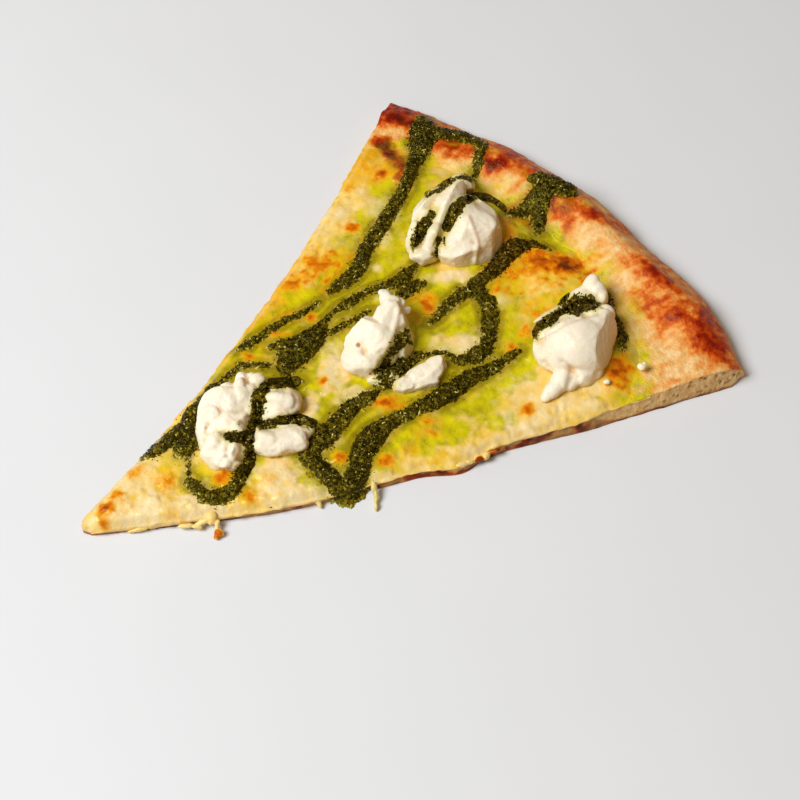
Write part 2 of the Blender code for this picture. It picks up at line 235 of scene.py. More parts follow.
@dataclass(frozen=True)
class Viewpoint:
    """The eye that looks down on the slice: lengths in mm, in the slice's plan."""

    place: tuple[float, float, float] = (263.82, -68.56, 471.47)
    back: tuple[float, float, float] = (0.4345, -0.3387, 0.8346)
    roll_deg: float = -2.58
    lens: float = 72.0
    sensor: float = 36.0
    reach: float = 565.0  # to the middle of the slice

    def axes(self) -> tuple[np.ndarray, np.ndarray, np.ndarray]:
        """The eye's right, up and back, each of length 1."""
        back = np.array(self.back) / np.linalg.norm(self.back)
        right = np.cross((0.0, 0.0, 1.0), back)
        right /= np.linalg.norm(right)
        return (*turned(right, np.cross(back, right), self.roll_deg), back)

    def ground_axes(self) -> tuple[np.ndarray, np.ndarray]:
        """The two level directions, to the right and towards the eye."""
        back = np.array(self.back)
        near = np.array((back[0], back[1])) / math.hypot(back[0], back[1])
        return np.array((-near[1], near[0])), near

    def focal(self) -> float:
        """The focal length in the picture's own units."""
        return self.lens / self.sensor * PICTURE_SIZE

    def picture_scales(self) -> tuple[float, float]:
        """Picture units for a mm on the slice, to the right and towards the eye."""
        across = self.focal() / self.reach
        return across, across * self.back[2]

    def ray(self, u: float, v: float) -> np.ndarray:
        """The direction from the eye through a place in the picture, of length 1."""
        right, up, back = self.axes()
        focal = self.focal()
        middle = PICTURE_SIZE / 2
        way = right * (u - middle) / focal + up * (middle - v) / focal - back
        return way / np.linalg.norm(way)

    def at_height(self, u: float, v: float, z: float) -> np.ndarray:
        """The place at that height which shows at (u, v) in the picture."""
        way = self.ray(u, v)
        return np.array(self.place) + way * (z - self.place[2]) / way[2]

    def seen(self, points: np.ndarray) -> np.ndarray:
        """Where places show in the picture, two numbers to a row."""
        right, up, back = self.axes()
        away = points - np.array(self.place)
        depth = -(away @ back)
        middle = PICTURE_SIZE / 2
        focal = self.focal()
        return np.stack(
            [middle + focal * (away @ right) / depth, middle - focal * (away @ up) / depth], axis=1
        )

    def make_camera(self) -> Object:
        """The camera object, made the scene's own."""
        data = bpy.data.cameras.new("viewpoint")
        data.lens = self.lens
        data.sensor_width = self.sensor
        data.clip_start = 0.01
        data.dof.use_dof = False
        made = placed("viewpoint", data)
        made.matrix_world = matrix_of(*self.axes(), (np.array(self.place) + PLAN_TO_MODEL) * MM)
        bpy.context.scene.camera = made
        return made


EYE = Viewpoint()


def light_way() -> np.ndarray:
    """The direction towards the light: up, and from the eye's left."""
    right, near = EYE.ground_axes()
    side = -0.85 * right + 0.30 * near
    way = np.array((side[0], side[1], 1.20))
    return way / np.linalg.norm(way)


def spotted(
    x: np.ndarray, y: np.ndarray, spots: tuple, seed: int, soft: float = 0.4, ragged: float = 0.3
) -> np.ndarray:
    """How strongly each place is covered by soft-edged spots.

    Args:
        x: Places, first number.
        y: Places, second number.
        spots: Rows of place, half width to the right, half width towards the eye, and strength.
        seed: Chooses the raggedness.
        soft: Share of a spot's size over which its edge fades.
        ragged: How far the edge wanders, in the same shares.

    Returns:
        How covered each place is, 0 to 1, where spots add up without passing 1.
    """
    right, near = EYE.ground_axes()
    wobble = ragged * swells(flat(x, y), 2.4, seed, 3)
    value = np.zeros(len(x))
    for at_x, at_y, wide, deep, strength in spots:
        across = ((x - at_x) * right[0] + (y - at_y) * right[1]) / wide
        along = ((x - at_x) * near[0] + (y - at_y) * near[1]) / deep
        gap = np.hypot(across, along) + wobble
        value = 1 - (1 - value) * (1 - strength * eased((1 + soft - gap) / (2 * soft)))
    return value


# the slice's plan and heights


@dataclass(frozen=True)
class SlicePlan:
    """The outline and the heights that every layer follows, in mm."""

    wedge: float = math.radians(45.2)
    tip_radius: float = 12.5
    tip_bulge: float = 0.2
    rim_reach: tuple = (229.9, 231.2, 234.4, 237.2, 237.2, 242.4, 240.2)
    spine_offset: float = 2.0
    spine_drift: float = 0.0165
    apex_y: float = -2.0
    tip_bend: float = 12.0
    tip_bend_from: float = 75.0
    tip_slimming: float = 5.4
    tip_slimming_from: float = 77.0
    left_hollow: float = 3.4
    left_hollow_from: float = 75.0
    left_hollow_length: float = 155.0
    right_bulges: tuple = ((132.0, 3.6, 9.0), (175.0, 1.2, 12.0))
    base: float = 2.6
    shoulder: float = 9.0
    shoulder_far: float = 110.0
    shoulder_near: float = 20.0
    rim_swell: tuple = (0.8, 2.4, 4.6, 6.2, 5.8, 4.8, 0.4)
    crest_in: float = 12.5
    crest_spread: float = 8.5
    left_rim_drop: float = 2.2
    rim_rounding: float = 10.5
    rim_foot_in: float = 4.5
    rim_side_low: float = 3.0
    cheese_edge: tuple = (27.0, 26.0, 27.0, 28.0, 27.5, 33.0, 43.0)
    cheese_lead: float = 5.0  # how much further out the cheese's film starts
    cheese: float = 3.4
    cheese_seen: float = 3.0  # how high it stands on the dough, for finding places in the picture
    cheese_taper: float = 14.0

    @staticmethod
    def between(values: tuple, across: np.ndarray) -> np.ndarray:
        """The smooth value at a share across, -1 to 1, of evenly spaced values."""
        place = np.clip((across + 1) / 2, 0, 1) * (len(values) - 1)
        first = np.minimum(place.astype(int), len(values) - 2)
        part = eased(place - first)
        given = np.array(values)
        return given[first] * (1 - part) + given[first + 1] * part

    def tip_at(self, across: np.ndarray) -> np.ndarray:
        """How far from the apex the slice starts: its point is broken off, a little rounded."""
        return self.tip_radius * (1 - self.tip_bulge * (1 - across**2))

    def rim_radius(self, across: np.ndarray) -> np.ndarray:
        """How far the rim reaches from the apex, where across runs -1 to 1."""
        return self.between(self.rim_reach, across)

    def spine(self, y: np.ndarray) -> np.ndarray:
        """The middle of the slice at y."""
        bend = np.maximum(0.0, (self.tip_bend_from - y) / self.tip_bend_from) ** 1.4
        return self.spine_offset - self.spine_drift * y - self.tip_bend * bend

    def place(self, across: np.ndarray, radius: np.ndarray) -> tuple[np.ndarray, np.ndarray]:
        """The place at that share across, -1 to 1, and that distance from the apex."""
        angle = across * self.wedge / 2
        y = radius * np.cos(angle) + self.apex_y
        x = radius * np.sin(angle) + self.spine(y)
        along = np.clip((radius - self.left_hollow_from) / self.left_hollow_length, 0, 1)
        x = x + self.left_hollow * np.sin(math.pi * along) * np.maximum(0.0, -across) ** 3
        x = x - self.tip_slimming * np.maximum(0, 1 - radius / self.tip_slimming_from) * (across + 1) / 2
        for at, depth, spread in self.right_bulges:
            x = x + depth * np.exp(-(((radius - at) / spread) ** 2)) * np.maximum(0, across) ** 5
        return x, y

    def shares(self, x: np.ndarray, y: np.ndarray) -> tuple[np.ndarray, np.ndarray]:
        """The share across and the distance from the apex of places in the plan."""
        guess_x = np.array(x, float)
        for _ in range(4):
            side = guess_x - self.spine(y)
            across = np.arctan2(side, y - self.apex_y) / (self.wedge / 2)
            radius = np.hypot(side, y - self.apex_y)
            there, _ = self.place(across, radius)
            guess_x = guess_x + (x - there)
        return across, radius

    def dough_height(self, across: np.ndarray, inside: np.ndarray) -> np.ndarray:
        """Height of the dough's top at a distance inside the rim's outer edge, up to its flank."""
        ramp = (self.shoulder_far - inside) / (self.shoulder_far - self.shoulder_near)
        ramp = np.clip(ramp, 0, 1) ** 2
        height = self.base + (self.shoulder - self.base) * ramp
        height = height - self.left_rim_drop * ramp * np.maximum(0, -across) ** 2
        swell = self.between(self.rim_swell, across)
        return height + swell * np.exp(-(((inside - self.crest_in) / self.crest_spread) ** 2))

    def cheese_edge_at(self, across: np.ndarray) -> np.ndarray:
        """How far inside the rim's edge the cheese ends."""
        return self.between(self.cheese_edge, across)

    def top_height(self, across: np.ndarray, inside: np.ndarray) -> np.ndarray:
        """Height of the slice's top, with the rounded rim and the cheese."""
        turn = np.clip(1 - inside / self.rim_rounding, 0, 1)
        dough = self.dough_height(across, np.maximum(inside, 0))
        film = inside - self.cheese_edge_at(across) + self.cheese_lead
        cheese = np.clip(film / self.cheese_taper, 0, 1)
        crown = (dough - self.rim_side_low) * np.sqrt(1 - turn**2)
        return self.rim_side_low + crown + self.cheese_seen * cheese

    def by_cuts(self, across: np.ndarray, radius: np.ndarray) -> np.ndarray:
        """1 at the two cuts, 0 away from them and at the tip."""
        return np.abs(across) ** 30 * eased((radius - self.tip_radius - 2) / 8)


PLAN = SlicePlan()


def on_slice(seen_spots: tuple, grown: float = 1.0) -> tuple:
    """Spots given where they show in the picture, laid on the slice's top.

    Args:
        seen_spots: Rows of place, half width and half height in the picture, and strength.
        grown: How much larger the spots become.

    Returns:
        The rows in mm, as `spotted` reads them.
    """
    heights = np.arange(20.0, 0.0, -0.1)
    per_mm_across, per_mm_near = EYE.picture_scales()
    laid = []
    for u, v, wide, tall, strength in seen_spots:
        way = EYE.ray(u, v)
        places = np.array(EYE.place) + np.outer((heights - EYE.place[2]) / way[2], way)
        across, radius = PLAN.shares(places[:, 0], places[:, 1])
        inside = PLAN.rim_radius(across) - radius
        first = int(np.argmax((heights <= PLAN.top_height(across, inside)) & (inside > 0)))
        x, y, _ = places[first]
        laid.append((x, y, grown * wide / per_mm_across, grown * tall / per_mm_near, strength))
    return tuple(laid)


# what lies where on the slice: strokes of pesto in mm, and spots of colour in mm or, inside
# on_slice, where they show in the picture

LEFT_STROKES = {
    "left_long": (
        (-70.4, 210, 4.2), (-65.4, 205.2, 5.6), (-61.2, 200.2, 4.6), (-58.2, 194.8, 3.1), (-53.8, 189, 2.7),
        (-50.3, 184.2, 2.7), (-45.5, 173.3, 3.1), (-41.1, 162.8, 3.2), (-37.1, 152.7, 3.4),
        (-34, 148.3, 3.4), (-31.9, 143.1, 3.4), (-31.3, 138.4, 3.1), (-31.5, 134.3, 2.3),
        (-31.6, 130.2, 1.1),
    ),
    "rim_band": (
        (-62.8, 207.1, 4.2), (-61, 210, 4), (-58, 212.8, 3.7), (-54.9, 215.4, 3.6), (-51.7, 216.9, 3.6),
        (-47.9, 217.4, 3.6),
    ),
    "rim_hook": (
        (-47.5, 218.4, 2.6), (-44.9, 217.6, 2.7), (-42.1, 214.6, 2.5), (-40.3, 211.9, 2.3),
        (-38.1, 209, 2.1), (-36.2, 206.3, 1.5), (-35.4, 204.1, 0.9),
    ),
    "left_short": (
        (-30.5, 125.1, 1), (-30.6, 121, 1.5), (-30.6, 116.4, 1.7), (-32.1, 112.5, 1.7), (-32.4, 108.1, 1.9),
        (-32.7, 103.8, 1.7), (-32.7, 99.3, 1.9), (-33.1, 95, 2.1), (-33.3, 91.6, 1.7),
    ),
    "mid_up": (
        (-19.8, 163.3, 1.1), (-19, 159.7, 1.9), (-18.2, 155.7, 3.1), (-18.2, 151.9, 2.7),
        (-19.5, 148.6, 1.9), (-21.1, 145.2, 1.7), (-22.2, 141.4, 1.5), (-22.6, 137, 1.7), (-22.9, 133, 2.3),
        (-23.5, 129.3, 1.9), (-23.3, 125.4, 1.2), (-22.6, 122, 1.6),
    ),
    "mid_blob": ((-11.2, 158.9, 1.9), (-12.5, 156.2, 3.1), (-13.1, 152.4, 3.1), (-13.7, 149, 1.5)),
    "mid_low": (
        (-14.5, 137.4, 1.1), (-15.6, 134.1, 1.3), (-15.8, 130, 1), (-16.1, 126.5, 1.2), (-16.6, 122.7, 1.4),
        (-17.2, 118.5, 1.6),
    ),
    "patch": (
        (-22.5, 121.5, 1.5), (-20.3, 117.5, 3.4), (-19.2, 112.9, 5), (-18.8, 108.4, 5.6),
        (-17.7, 103.5, 5.6), (-15.8, 98.9, 3.8), (-12.6, 96.9, 1.9),
    ),
    "patch_arm": ((-21.9, 106.3, 3.1), (-23.4, 103, 3.1), (-25.7, 100.3, 1.9)),
    "tip_arc": (
        (-13.4, 99.7, 1.9), (-17.5, 97.5, 1.3), (-21, 94, 1.5), (-24.5, 90.4, 1.5), (-26.7, 87.2, 1.5),
        (-27.1, 83.8, 1.5), (-26, 80.8, 1.5), (-25.4, 77.7, 1.9), (-25.8, 74, 2.1), (-25.1, 70.1, 2.3),
        (-23.5, 66.4, 2.5), (-22.1, 62.3, 3.1), (-19.4, 58.2, 4), (-15.9, 54.9, 4.2), (-12.7, 51.7, 3.2),
        (-10.6, 49, 1.7),
    ),
    "tip_fill": ((-15.5, 60.5, 2.4), (-12.8, 57.5, 3), (-10.4, 54, 2.6), (-8.6, 50.8, 1.4)),
    "tip_link": ((-8.6, 50.8, 1.2), (-5.4, 48.8, 0.9), (-2.4, 46.4, 1.1)),
    "tip_arm": (
        (-19.8, 55.5, 3.4), (-18.9, 50.9, 3.4), (-18.5, 46.4, 3.4), (-18.7, 42.4, 3), (-19.5, 39.1, 1.4),
    ),
    "tip_bowl": (
        (-1.5, 71, 1.5), (1.7, 68.3, 2.1), (5.3, 66.1, 2.2), (7.4, 62.8, 1.9), (9, 59.9, 2.2),
        (10.9, 57.6, 2.6), (12.4, 54.8, 2.9), (11.9, 51.3, 3.2), (10.6, 48.1, 3.2), (8.3, 46, 3),
        (5.1, 45.9, 2.6), (1.7, 45.4, 2.2), (-1, 44.5, 1.4),
    ),
    "tip_valley_foot": ((-7.6, 99.2, 1.1), (-9.3, 95.6, 1.5), (-11.9, 92.3, 1.5), (-13.8, 89.5, 1.4)),
}

RIGHT_STROKES = {
    "turn_up": (
        (13.7, 117.2, 1.5), (13.9, 113.1, 2.5), (13.2, 109.1, 3.1), (12.9, 104.8, 3.4), (13.7, 100.6, 3.4),
        (14.9, 96.5, 3.8), (15.7, 92.4, 4.4), (16.4, 88.3, 4.4), (17.1, 84.2, 3.8), (17.5, 81.2, 2.7),
    ),
    "turn_down": (
        (18.9, 81.5, 3.1), (23.1, 82, 3.4), (27.6, 82.4, 3.5), (31.4, 82.4, 3.3), (35.2, 81.9, 3),
        (37.5, 81.4, 1.8),
    ),
    "right_long": (
        (34, 165.4, 1.1), (33.6, 162, 1.9), (33.1, 158.1, 1.9), (32.9, 154.1, 2.7), (32.1, 150, 3.1),
        (31.1, 145.3, 3.4), (30.5, 140.7, 3.7), (30.3, 136.3, 4), (29.7, 132.1, 4), (29.1, 127.5, 3.6),
        (28.3, 123.3, 3.2), (27.4, 118.5, 2.7), (26.6, 113.8, 3), (26.4, 109, 3.5), (26.6, 104.3, 4.4),
        (27.5, 100.1, 4.5), (29.6, 96.1, 4.4), (32.6, 92.7, 4.2), (35.4, 88.7, 4), (37, 85.5, 3.6),
        (38.6, 83, 2.2),
    ),
    "cross_band": (
        (9.1, 202.8, 1.1), (6.3, 201.1, 1.9), (2.9, 199.4, 2.7), (0.6, 196.2, 3.5), (-0.4, 193, 4.1),
        (0.4, 188.9, 4.1), (1.3, 185.1, 3.7), (1.8, 180.6, 3.2), (2.1, 177, 2.8), (1.8, 172.9, 3),
    ),
    "loop_left": (
        (2.5, 171.6, 3.2), (2.2, 167, 3.1), (1.9, 162.9, 2.7), (2, 159, 2.3), (2.8, 155, 2.1),
        (3.3, 151.7, 1.7), (3.3, 149.3, 1.1),
    ),
    "loop": (
        (3, 171.6, 3.2), (6.6, 171.3, 3.3), (11.1, 170.3, 3.3), (15.2, 168, 3.3), (18.8, 164.7, 3.1),
        (21.8, 161.6, 3), (24.6, 158.1, 3.2), (25.5, 154.5, 3.6), (24.7, 150.9, 3.3), (23.4, 147.4, 2.6),
        (21.6, 145.2, 1.8),
    ),
    "rim_top": (
        (-16.6, 218.9, 3), (-14, 221.2, 4.2), (-11, 222.8, 4.6), (-7.8, 223.6, 4.6), (-4.2, 224.2, 4),
        (-1.2, 224.6, 2.4),
    ),
    "rim_stem": (
        (-11.6, 222.4, 4.2), (-11, 218.9, 4.2), (-10.9, 215.3, 3.9), (-11.1, 212, 3.4), (-11.5, 208.4, 3),
        (-12.9, 205.1, 2.7), (-13.3, 202.4, 1.7),
    ),
    "rim_branch": (
        (-10.3, 220.4, 3.2), (-8.6, 215.7, 3.7), (-6.7, 212.5, 3.3), (-4.3, 209.8, 3), (-2.3, 207.6, 2.6),
        (-0.1, 205, 1.4),
    ),
    "cut_side_back": (
        (37.8, 205.2, 1.8), (40.5, 203.2, 1.4), (43, 202, 0.9), (46, 200.4, 1.4), (49.9, 198.3, 2),
        (53.7, 196, 2.1), (56.9, 193.4, 1.5), (58.7, 191.5, 0.8),
    ),
    "lobe_back": (
        (20.6, 146.1, 1.3), (17.4, 145.1, 1.3), (14.9, 143, 1.2), (13.3, 140.3, 1.2), (12.1, 137.5, 1.3),
        (11.2, 134.6, 1.9), (10.6, 131.5, 2.3), (11.2, 127, 2.4), (11.6, 123, 3.2), (13.5, 121, 2.4),
    ),
}

TOAST_AND_SHADE_SPOTS = (
    *on_slice((
        (382, 174, 8, 4.5, 0.9), (350, 187, 8, 3.6, 0.5), (362, 164, 4, 7, 0.4), (371, 152, 4, 6, 0.35),
        (353, 229, 5.5, 4.5, 0.9), (338, 226, 3, 3, 0.4), (330, 256, 9, 3.6, 0.45), (322, 268, 7, 4.4, 0.6),
        (345, 262, 5, 5, 0.35), (295, 283, 6, 4.6, 0.8), (305, 266, 4, 4, 0.4), (308, 245, 5, 2.6, 0.3),
        (311, 317, 4.4, 3.6, 0.85), (322, 290, 6, 4, 0.3), (276, 335, 10, 2.6, 0.55),
        (266, 308, 4, 3, 0.35), (283, 300, 4, 3, 0.25), (252, 326, 4, 3, 0.3), (372, 182, 4, 3, 0.3),
        (340, 275, 4, 3, 0.35), (326, 281, 4, 3, 0.55), (527, 252, 7, 3, 0.75), (543, 261, 6, 3, 0.8),
        # (508, 238) is partly toasted cheese and partly painted shadow right of the spoonful by the rim
        (562, 261, 6, 2.6, 0.8), (508, 238, 6, 7, 0.7),
    )),
    (-28, 92, 1.9, 1.7, 0.7), (-24, 77, 1.5, 1.3, 0.5), (-3, 154, 2.6, 3, 0.85), (-2, 105, 1.5, 1.7, 0.7),
    (19, 116, 4.4, 2.1, 0.75), (35, 122, 3.7, 2.1, 0.45), (37, 101, 1.9, 1.7, 1), (39, 110, 2.6, 2.6, 0.35),
    (26, 90, 1.9, 1.7, 0.7), (6, 55, 3, 2.6, 0.75), (18, 58, 2.6, 2.6, 0.55), (18, 67, 1.5, 1.7, 0.4),
    (15.5, 203.5, 2.8, 1.3, 0.7), (22, 203, 3, 1.9, 0.7), (7, 195, 3.7, 1.7, 0.6), (14, 197, 4.8, 2, 0.75),
    (8, 189, 3, 2.1, 0.4), (28, 202, 2.2, 1.7, 0.6), (8, 184, 3.3, 2.6, 0.45), (22, 193, 2.2, 1.7, 0.4),
    (30, 172, 1.9, 3, 0.6), (54, 151, 2.2, 2.6, 0.7), (31, 164, 1.9, 1.7, 0.6), (-16, 33, 2.6, 2.1, 0.6),
    (-5, 39, 3, 3, 0.55), (-12, 24, 1.8, 1.4, 0.65), (-10, 18, 2.3, 2.1, 0.8), (-6, 14, 1.8, 1.6, 0.6),
    (6, 33, 2.2, 1.7, 0.35),
)

TOAST_VEIL_AND_SHADE = (
    *on_slice((  # wide, faint browning round groups of spots, and painted shadow beside two spoonfuls
        (322, 264, 26, 16, 0.42), (296, 283, 14, 12, 0.35), (352, 228, 9, 8, 0.22), (350, 187, 12, 6, 0.22),
        # (416, 308) is painted shadow right of the middle spoonful; (622, 364) and (628, 388) are painted
        # shadow right of and below the spoonful by the cut
        (372, 172, 14, 9, 0.3), (290, 318, 26, 8, 0.2), (416, 308, 9, 17, 0.3), (622, 364, 12, 12, 0.3),
        (628, 388, 8, 7, 0.2),
    )),
    (13, 196, 15, 7, 0.5), (20, 202, 9, 4, 0.4), (10, 178, 5, 5, 0.3), (38, 120, 6, 3, 0.3),
    (-9, 20, 8, 4, 0.2), (28, 182, 9, 8, 0.26), (63, 183, 6, 6, 0.36),
)

OIL_POOLS = (
    (-29, 163, 5.9, 6.8, 0.8), (-25, 153, 3.7, 3.4, 0.7), (-5, 112, 5, 11.1, 1.0), (12, 103, 5.9, 5.1, 0.7),
    (5, 98, 3, 5.1, 0.6), (10, 156, 5.2, 6, 1.0), (40, 142, 7.4, 5.1, 0.9), (42, 125, 8.1, 5.1, 0.9),
    (52, 142, 5.9, 4.3, 0.7), (40, 114, 5.2, 3.8, 0.6), (30, 189, 5.9, 6.8, 0.5), (29, 179, 3.7, 5.1, 0.6),
    (27, 213, 3.7, 2.1, 0.9), (34, 213, 3, 2.1, 0.8), (20, 213, 3, 2.1, 0.7), (32, 98, 3, 5.1, 0.5),
    (-48, 199, 3.7, 2.1, 0.5), (-1, 51, 3.7, 6, 0.4), (19, 52, 4.4, 2.1, 0.6), (-24, 126, 3.7, 2.6, 0.6),
    (-26, 112, 3, 2.6, 0.5), (-2, 174, 3, 2.6, 0.4), (41, 159, 5.2, 6, 0.9), (41, 152, 3.7, 3.4, 0.8),
    (55, 165, 3, 2.6, 0.5), (65, 170, 3.7, 1.7, 0.6), (71, 187, 8, 3, 0.5), (74, 181, 6.2, 2.6, 0.5),
    (-26, 175, 3, 4.3, 0.6),
)

MILKY_SPOTS = (
    *on_slice((
        (375, 205, 14, 10, 0.5), (335, 212, 16, 12, 0.85), (345, 225, 10, 8, 0.5), (318, 230, 8, 7, 0.5),
        (360, 190, 8, 6, 0.5), (395, 212, 6, 12, 0.5), (385, 240, 6, 10, 0.45), (377, 270, 5, 4, 0.5),
        (307, 283, 6, 5, 0.35), (290, 272, 6, 4, 0.4),
    )),
    (-4, 21, 12, 7, 0.9), (10, 36, 12, 6, 0.8), (23, 52, 10, 4, 0.6), (-14, 31, 8, 5, 0.7),
    (17.5, 69, 7, 6, 0.9), (-22, 36, 10, 9, 0.5), (-3, 111, 4.1, 9.4, 1), (9, 109, 3.7, 3.4, 0.8),
    (-7, 168, 7.4, 2.6, 0.9), (20, 153, 5.9, 3.8, 0.9), (13, 146, 3.7, 3, 0.5), (4, 95, 2.2, 5.1, 0.9),
    (64, 166, 6.7, 3, 0.7), (59, 146, 5.9, 3.4, 0.8), (57, 135, 5.2, 3, 0.8), (53, 125, 4.4, 2.1, 0.5),
    (33, 184, 3, 3.8, 0.6), (13, 175, 3.3, 3, 0.4), (30, 69, 11.1, 6, 1), (33, 86, 2.2, 2.6, 0.4),
    (42, 97, 5.9, 2.6, 0.8), (47, 108, 3.7, 2.1, 0.6), (-2, 26, 10, 6.5, 1), (14, 44, 8, 5, 0.6),
    (11, 42, 7.4, 3.8, 0.8), (-32, 176, 2.6, 2.6, 0.5), (-17, 143, 2.2, 2.1, 0.4), (61, 153, 3, 2.1, 0.6),
    (40, 179, 2.6, 2.1, 0.3), (60, 175, 4.4, 2.6, 0.4), (58, 150, 9, 16, 0.6), (60, 172, 7, 6, 0.4),
)

DARK_CRUST_AND_SHADE = (
    *on_slice((  # the ridge by the left corner
        (379, 142, 5, 3.2, 0.9), (385, 147, 5, 3.6, 1), (391, 153, 5, 4, 1), (396, 160, 5, 6, 1),
        (400, 169, 5, 7, 1), (402, 178, 4.4, 5, 0.95),
    ), 1.8),
    *on_slice((
        (392, 108, 9, 6, 1), (389, 116, 6, 6, 0.95), (400, 114, 8, 6, 1), (404, 121, 8, 5, 1),
        (412, 124, 6, 4, 0.9), (414, 114, 6, 4, 0.85), (424, 120, 5, 3, 0.6), (462, 139, 9, 3.4, 0.65),
        (448, 137, 6, 3, 0.5), (489, 162, 7, 5, 0.85), (498, 166, 7, 4, 0.7), (505, 160, 6, 4, 0.5),
        (486, 152, 4, 6, 0.5), (527, 163, 6, 3, 0.4), (556, 194, 9, 4, 0.95), (550, 203, 5, 6, 0.85),
        (562, 207, 6, 5, 0.6), (570, 189, 5, 4, 0.5), (513, 209, 7, 5, 0.6), (522, 222, 8, 6, 0.55),
        # (508, 230) is partly dark crust and partly painted shadow right of the spoonful by the rim
        (540, 196, 6, 8, 0.6), (592, 212, 6, 4.4, 0.42), (508, 230, 5, 9, 0.8),
    ), 1.45),
    *on_slice((
        (636, 260, 6, 3, 0.3), (643, 266, 6, 4, 0.48), (651, 272, 6, 4, 0.55), (659, 277, 6.4, 4, 0.62),
        (665, 282, 5, 3, 0.5), (671, 316, 7, 5.4, 0.6), (677, 308, 6, 5, 0.5), (706, 324, 8, 6, 0.8),
        (712, 334, 8, 6, 0.8), (716, 344, 6, 6.4, 0.85), (705, 345, 6, 4.4, 0.6), (719, 353, 4, 5, 0.6),
        (701, 333, 4, 8, 0.5),
    ), 1.3),
)

ORANGE_CRUST = (
    *on_slice((
        (384, 172, 7, 5, 0.9), (376, 178, 6, 4, 0.7), (428, 165, 8, 5, 0.45), (427, 185, 8, 5, 0.5),
        (420, 176, 5, 5, 0.5), (450, 146, 10, 8, 1), (440, 142, 7, 5, 0.85), (467, 148, 8, 6, 0.85),
        (500, 150, 12, 7, 0.85), (515, 155, 11, 6, 0.75), (526, 168, 9, 8, 0.85), (534, 174, 6, 7, 0.65),
        (498, 166, 14, 8, 0.75), (520, 216, 13, 11, 0.85), (556, 203, 13, 10, 0.85), (568, 208, 7, 9, 0.6),
        (563, 240, 6, 8, 0.75), (570, 222, 6, 8, 0.55), (592, 212, 10, 7, 0.62), (602, 220, 7, 5, 0.4),
        (580, 196, 8, 5, 0.35),
    ), 1.3),
    *on_slice((
        (622, 226, 9, 7, 0.62), (622, 258, 8, 4, 0.55), (632, 262, 9, 5, 0.6), (646, 270, 12, 6, 0.65),
        (660, 280, 11, 7, 0.6), (655, 287, 11, 8, 0.42), (634, 306, 6, 6, 0.85), (644, 303, 7, 4, 0.6),
        (652, 303, 7, 4, 0.8), (661, 308, 9, 7, 0.6), (645, 313, 10, 4, 0.5), (633, 292, 6, 6, 0.4),
        (666, 326, 9, 6, 0.55), (672, 316, 13, 9, 0.62), (682, 300, 12, 10, 0.42), (696, 314, 9, 9, 0.45),
        (708, 332, 17, 14, 0.66), (716, 356, 11, 7, 0.62), (727, 362, 8, 5, 0.5), (734, 369, 4.4, 5, 0.95),
        (690, 328, 8, 8, 0.35), (652, 256, 7, 3, 0.55), (640, 248, 6, 3, 0.5), (668, 270, 6, 3, 0.4),
        (690, 292, 7, 4, 0.35), (664, 288, 24, 14, 0.42), (698, 316, 20, 18, 0.5), (712, 312, 6, 5, 0.4),
    ), 1.15),
)

PALE_CRUST = (
    *on_slice((
        (632, 330, 7, 24, 0.35), (394, 134, 11, 4, 0.8), (444, 160, 8, 6, 0.7), (440, 170, 9, 5, 0.6),
        (505, 181, 14, 9, 1), (493, 176, 8, 6, 0.9), (588, 236, 15, 10, 1), (579, 224, 5, 6, 0.7),
        (612, 250, 12, 8, 1), (603, 238, 9, 7, 0.9), (622, 280, 9, 10, 1), (648, 336, 16, 11, 0.45),
        (680, 350, 17, 11, 0.45), (690, 366, 20, 8, 0.45), (722, 372, 12, 3, 0.8), (640, 325, 10, 6, 0.45),
        (620, 300, 6, 10, 0.8), (598, 262, 8, 6, 0.8),
    ), 1.05),
)


def routes_of(strokes: dict, step: float = 2.0) -> list[np.ndarray]:
    """The strokes as smooth routes."""
    return [smooth_route(points, step) for points in strokes.values()]


ALL_ROUTES = routes_of(LEFT_STROKES, 3.0) + routes_of(RIGHT_STROKES, 3.0)


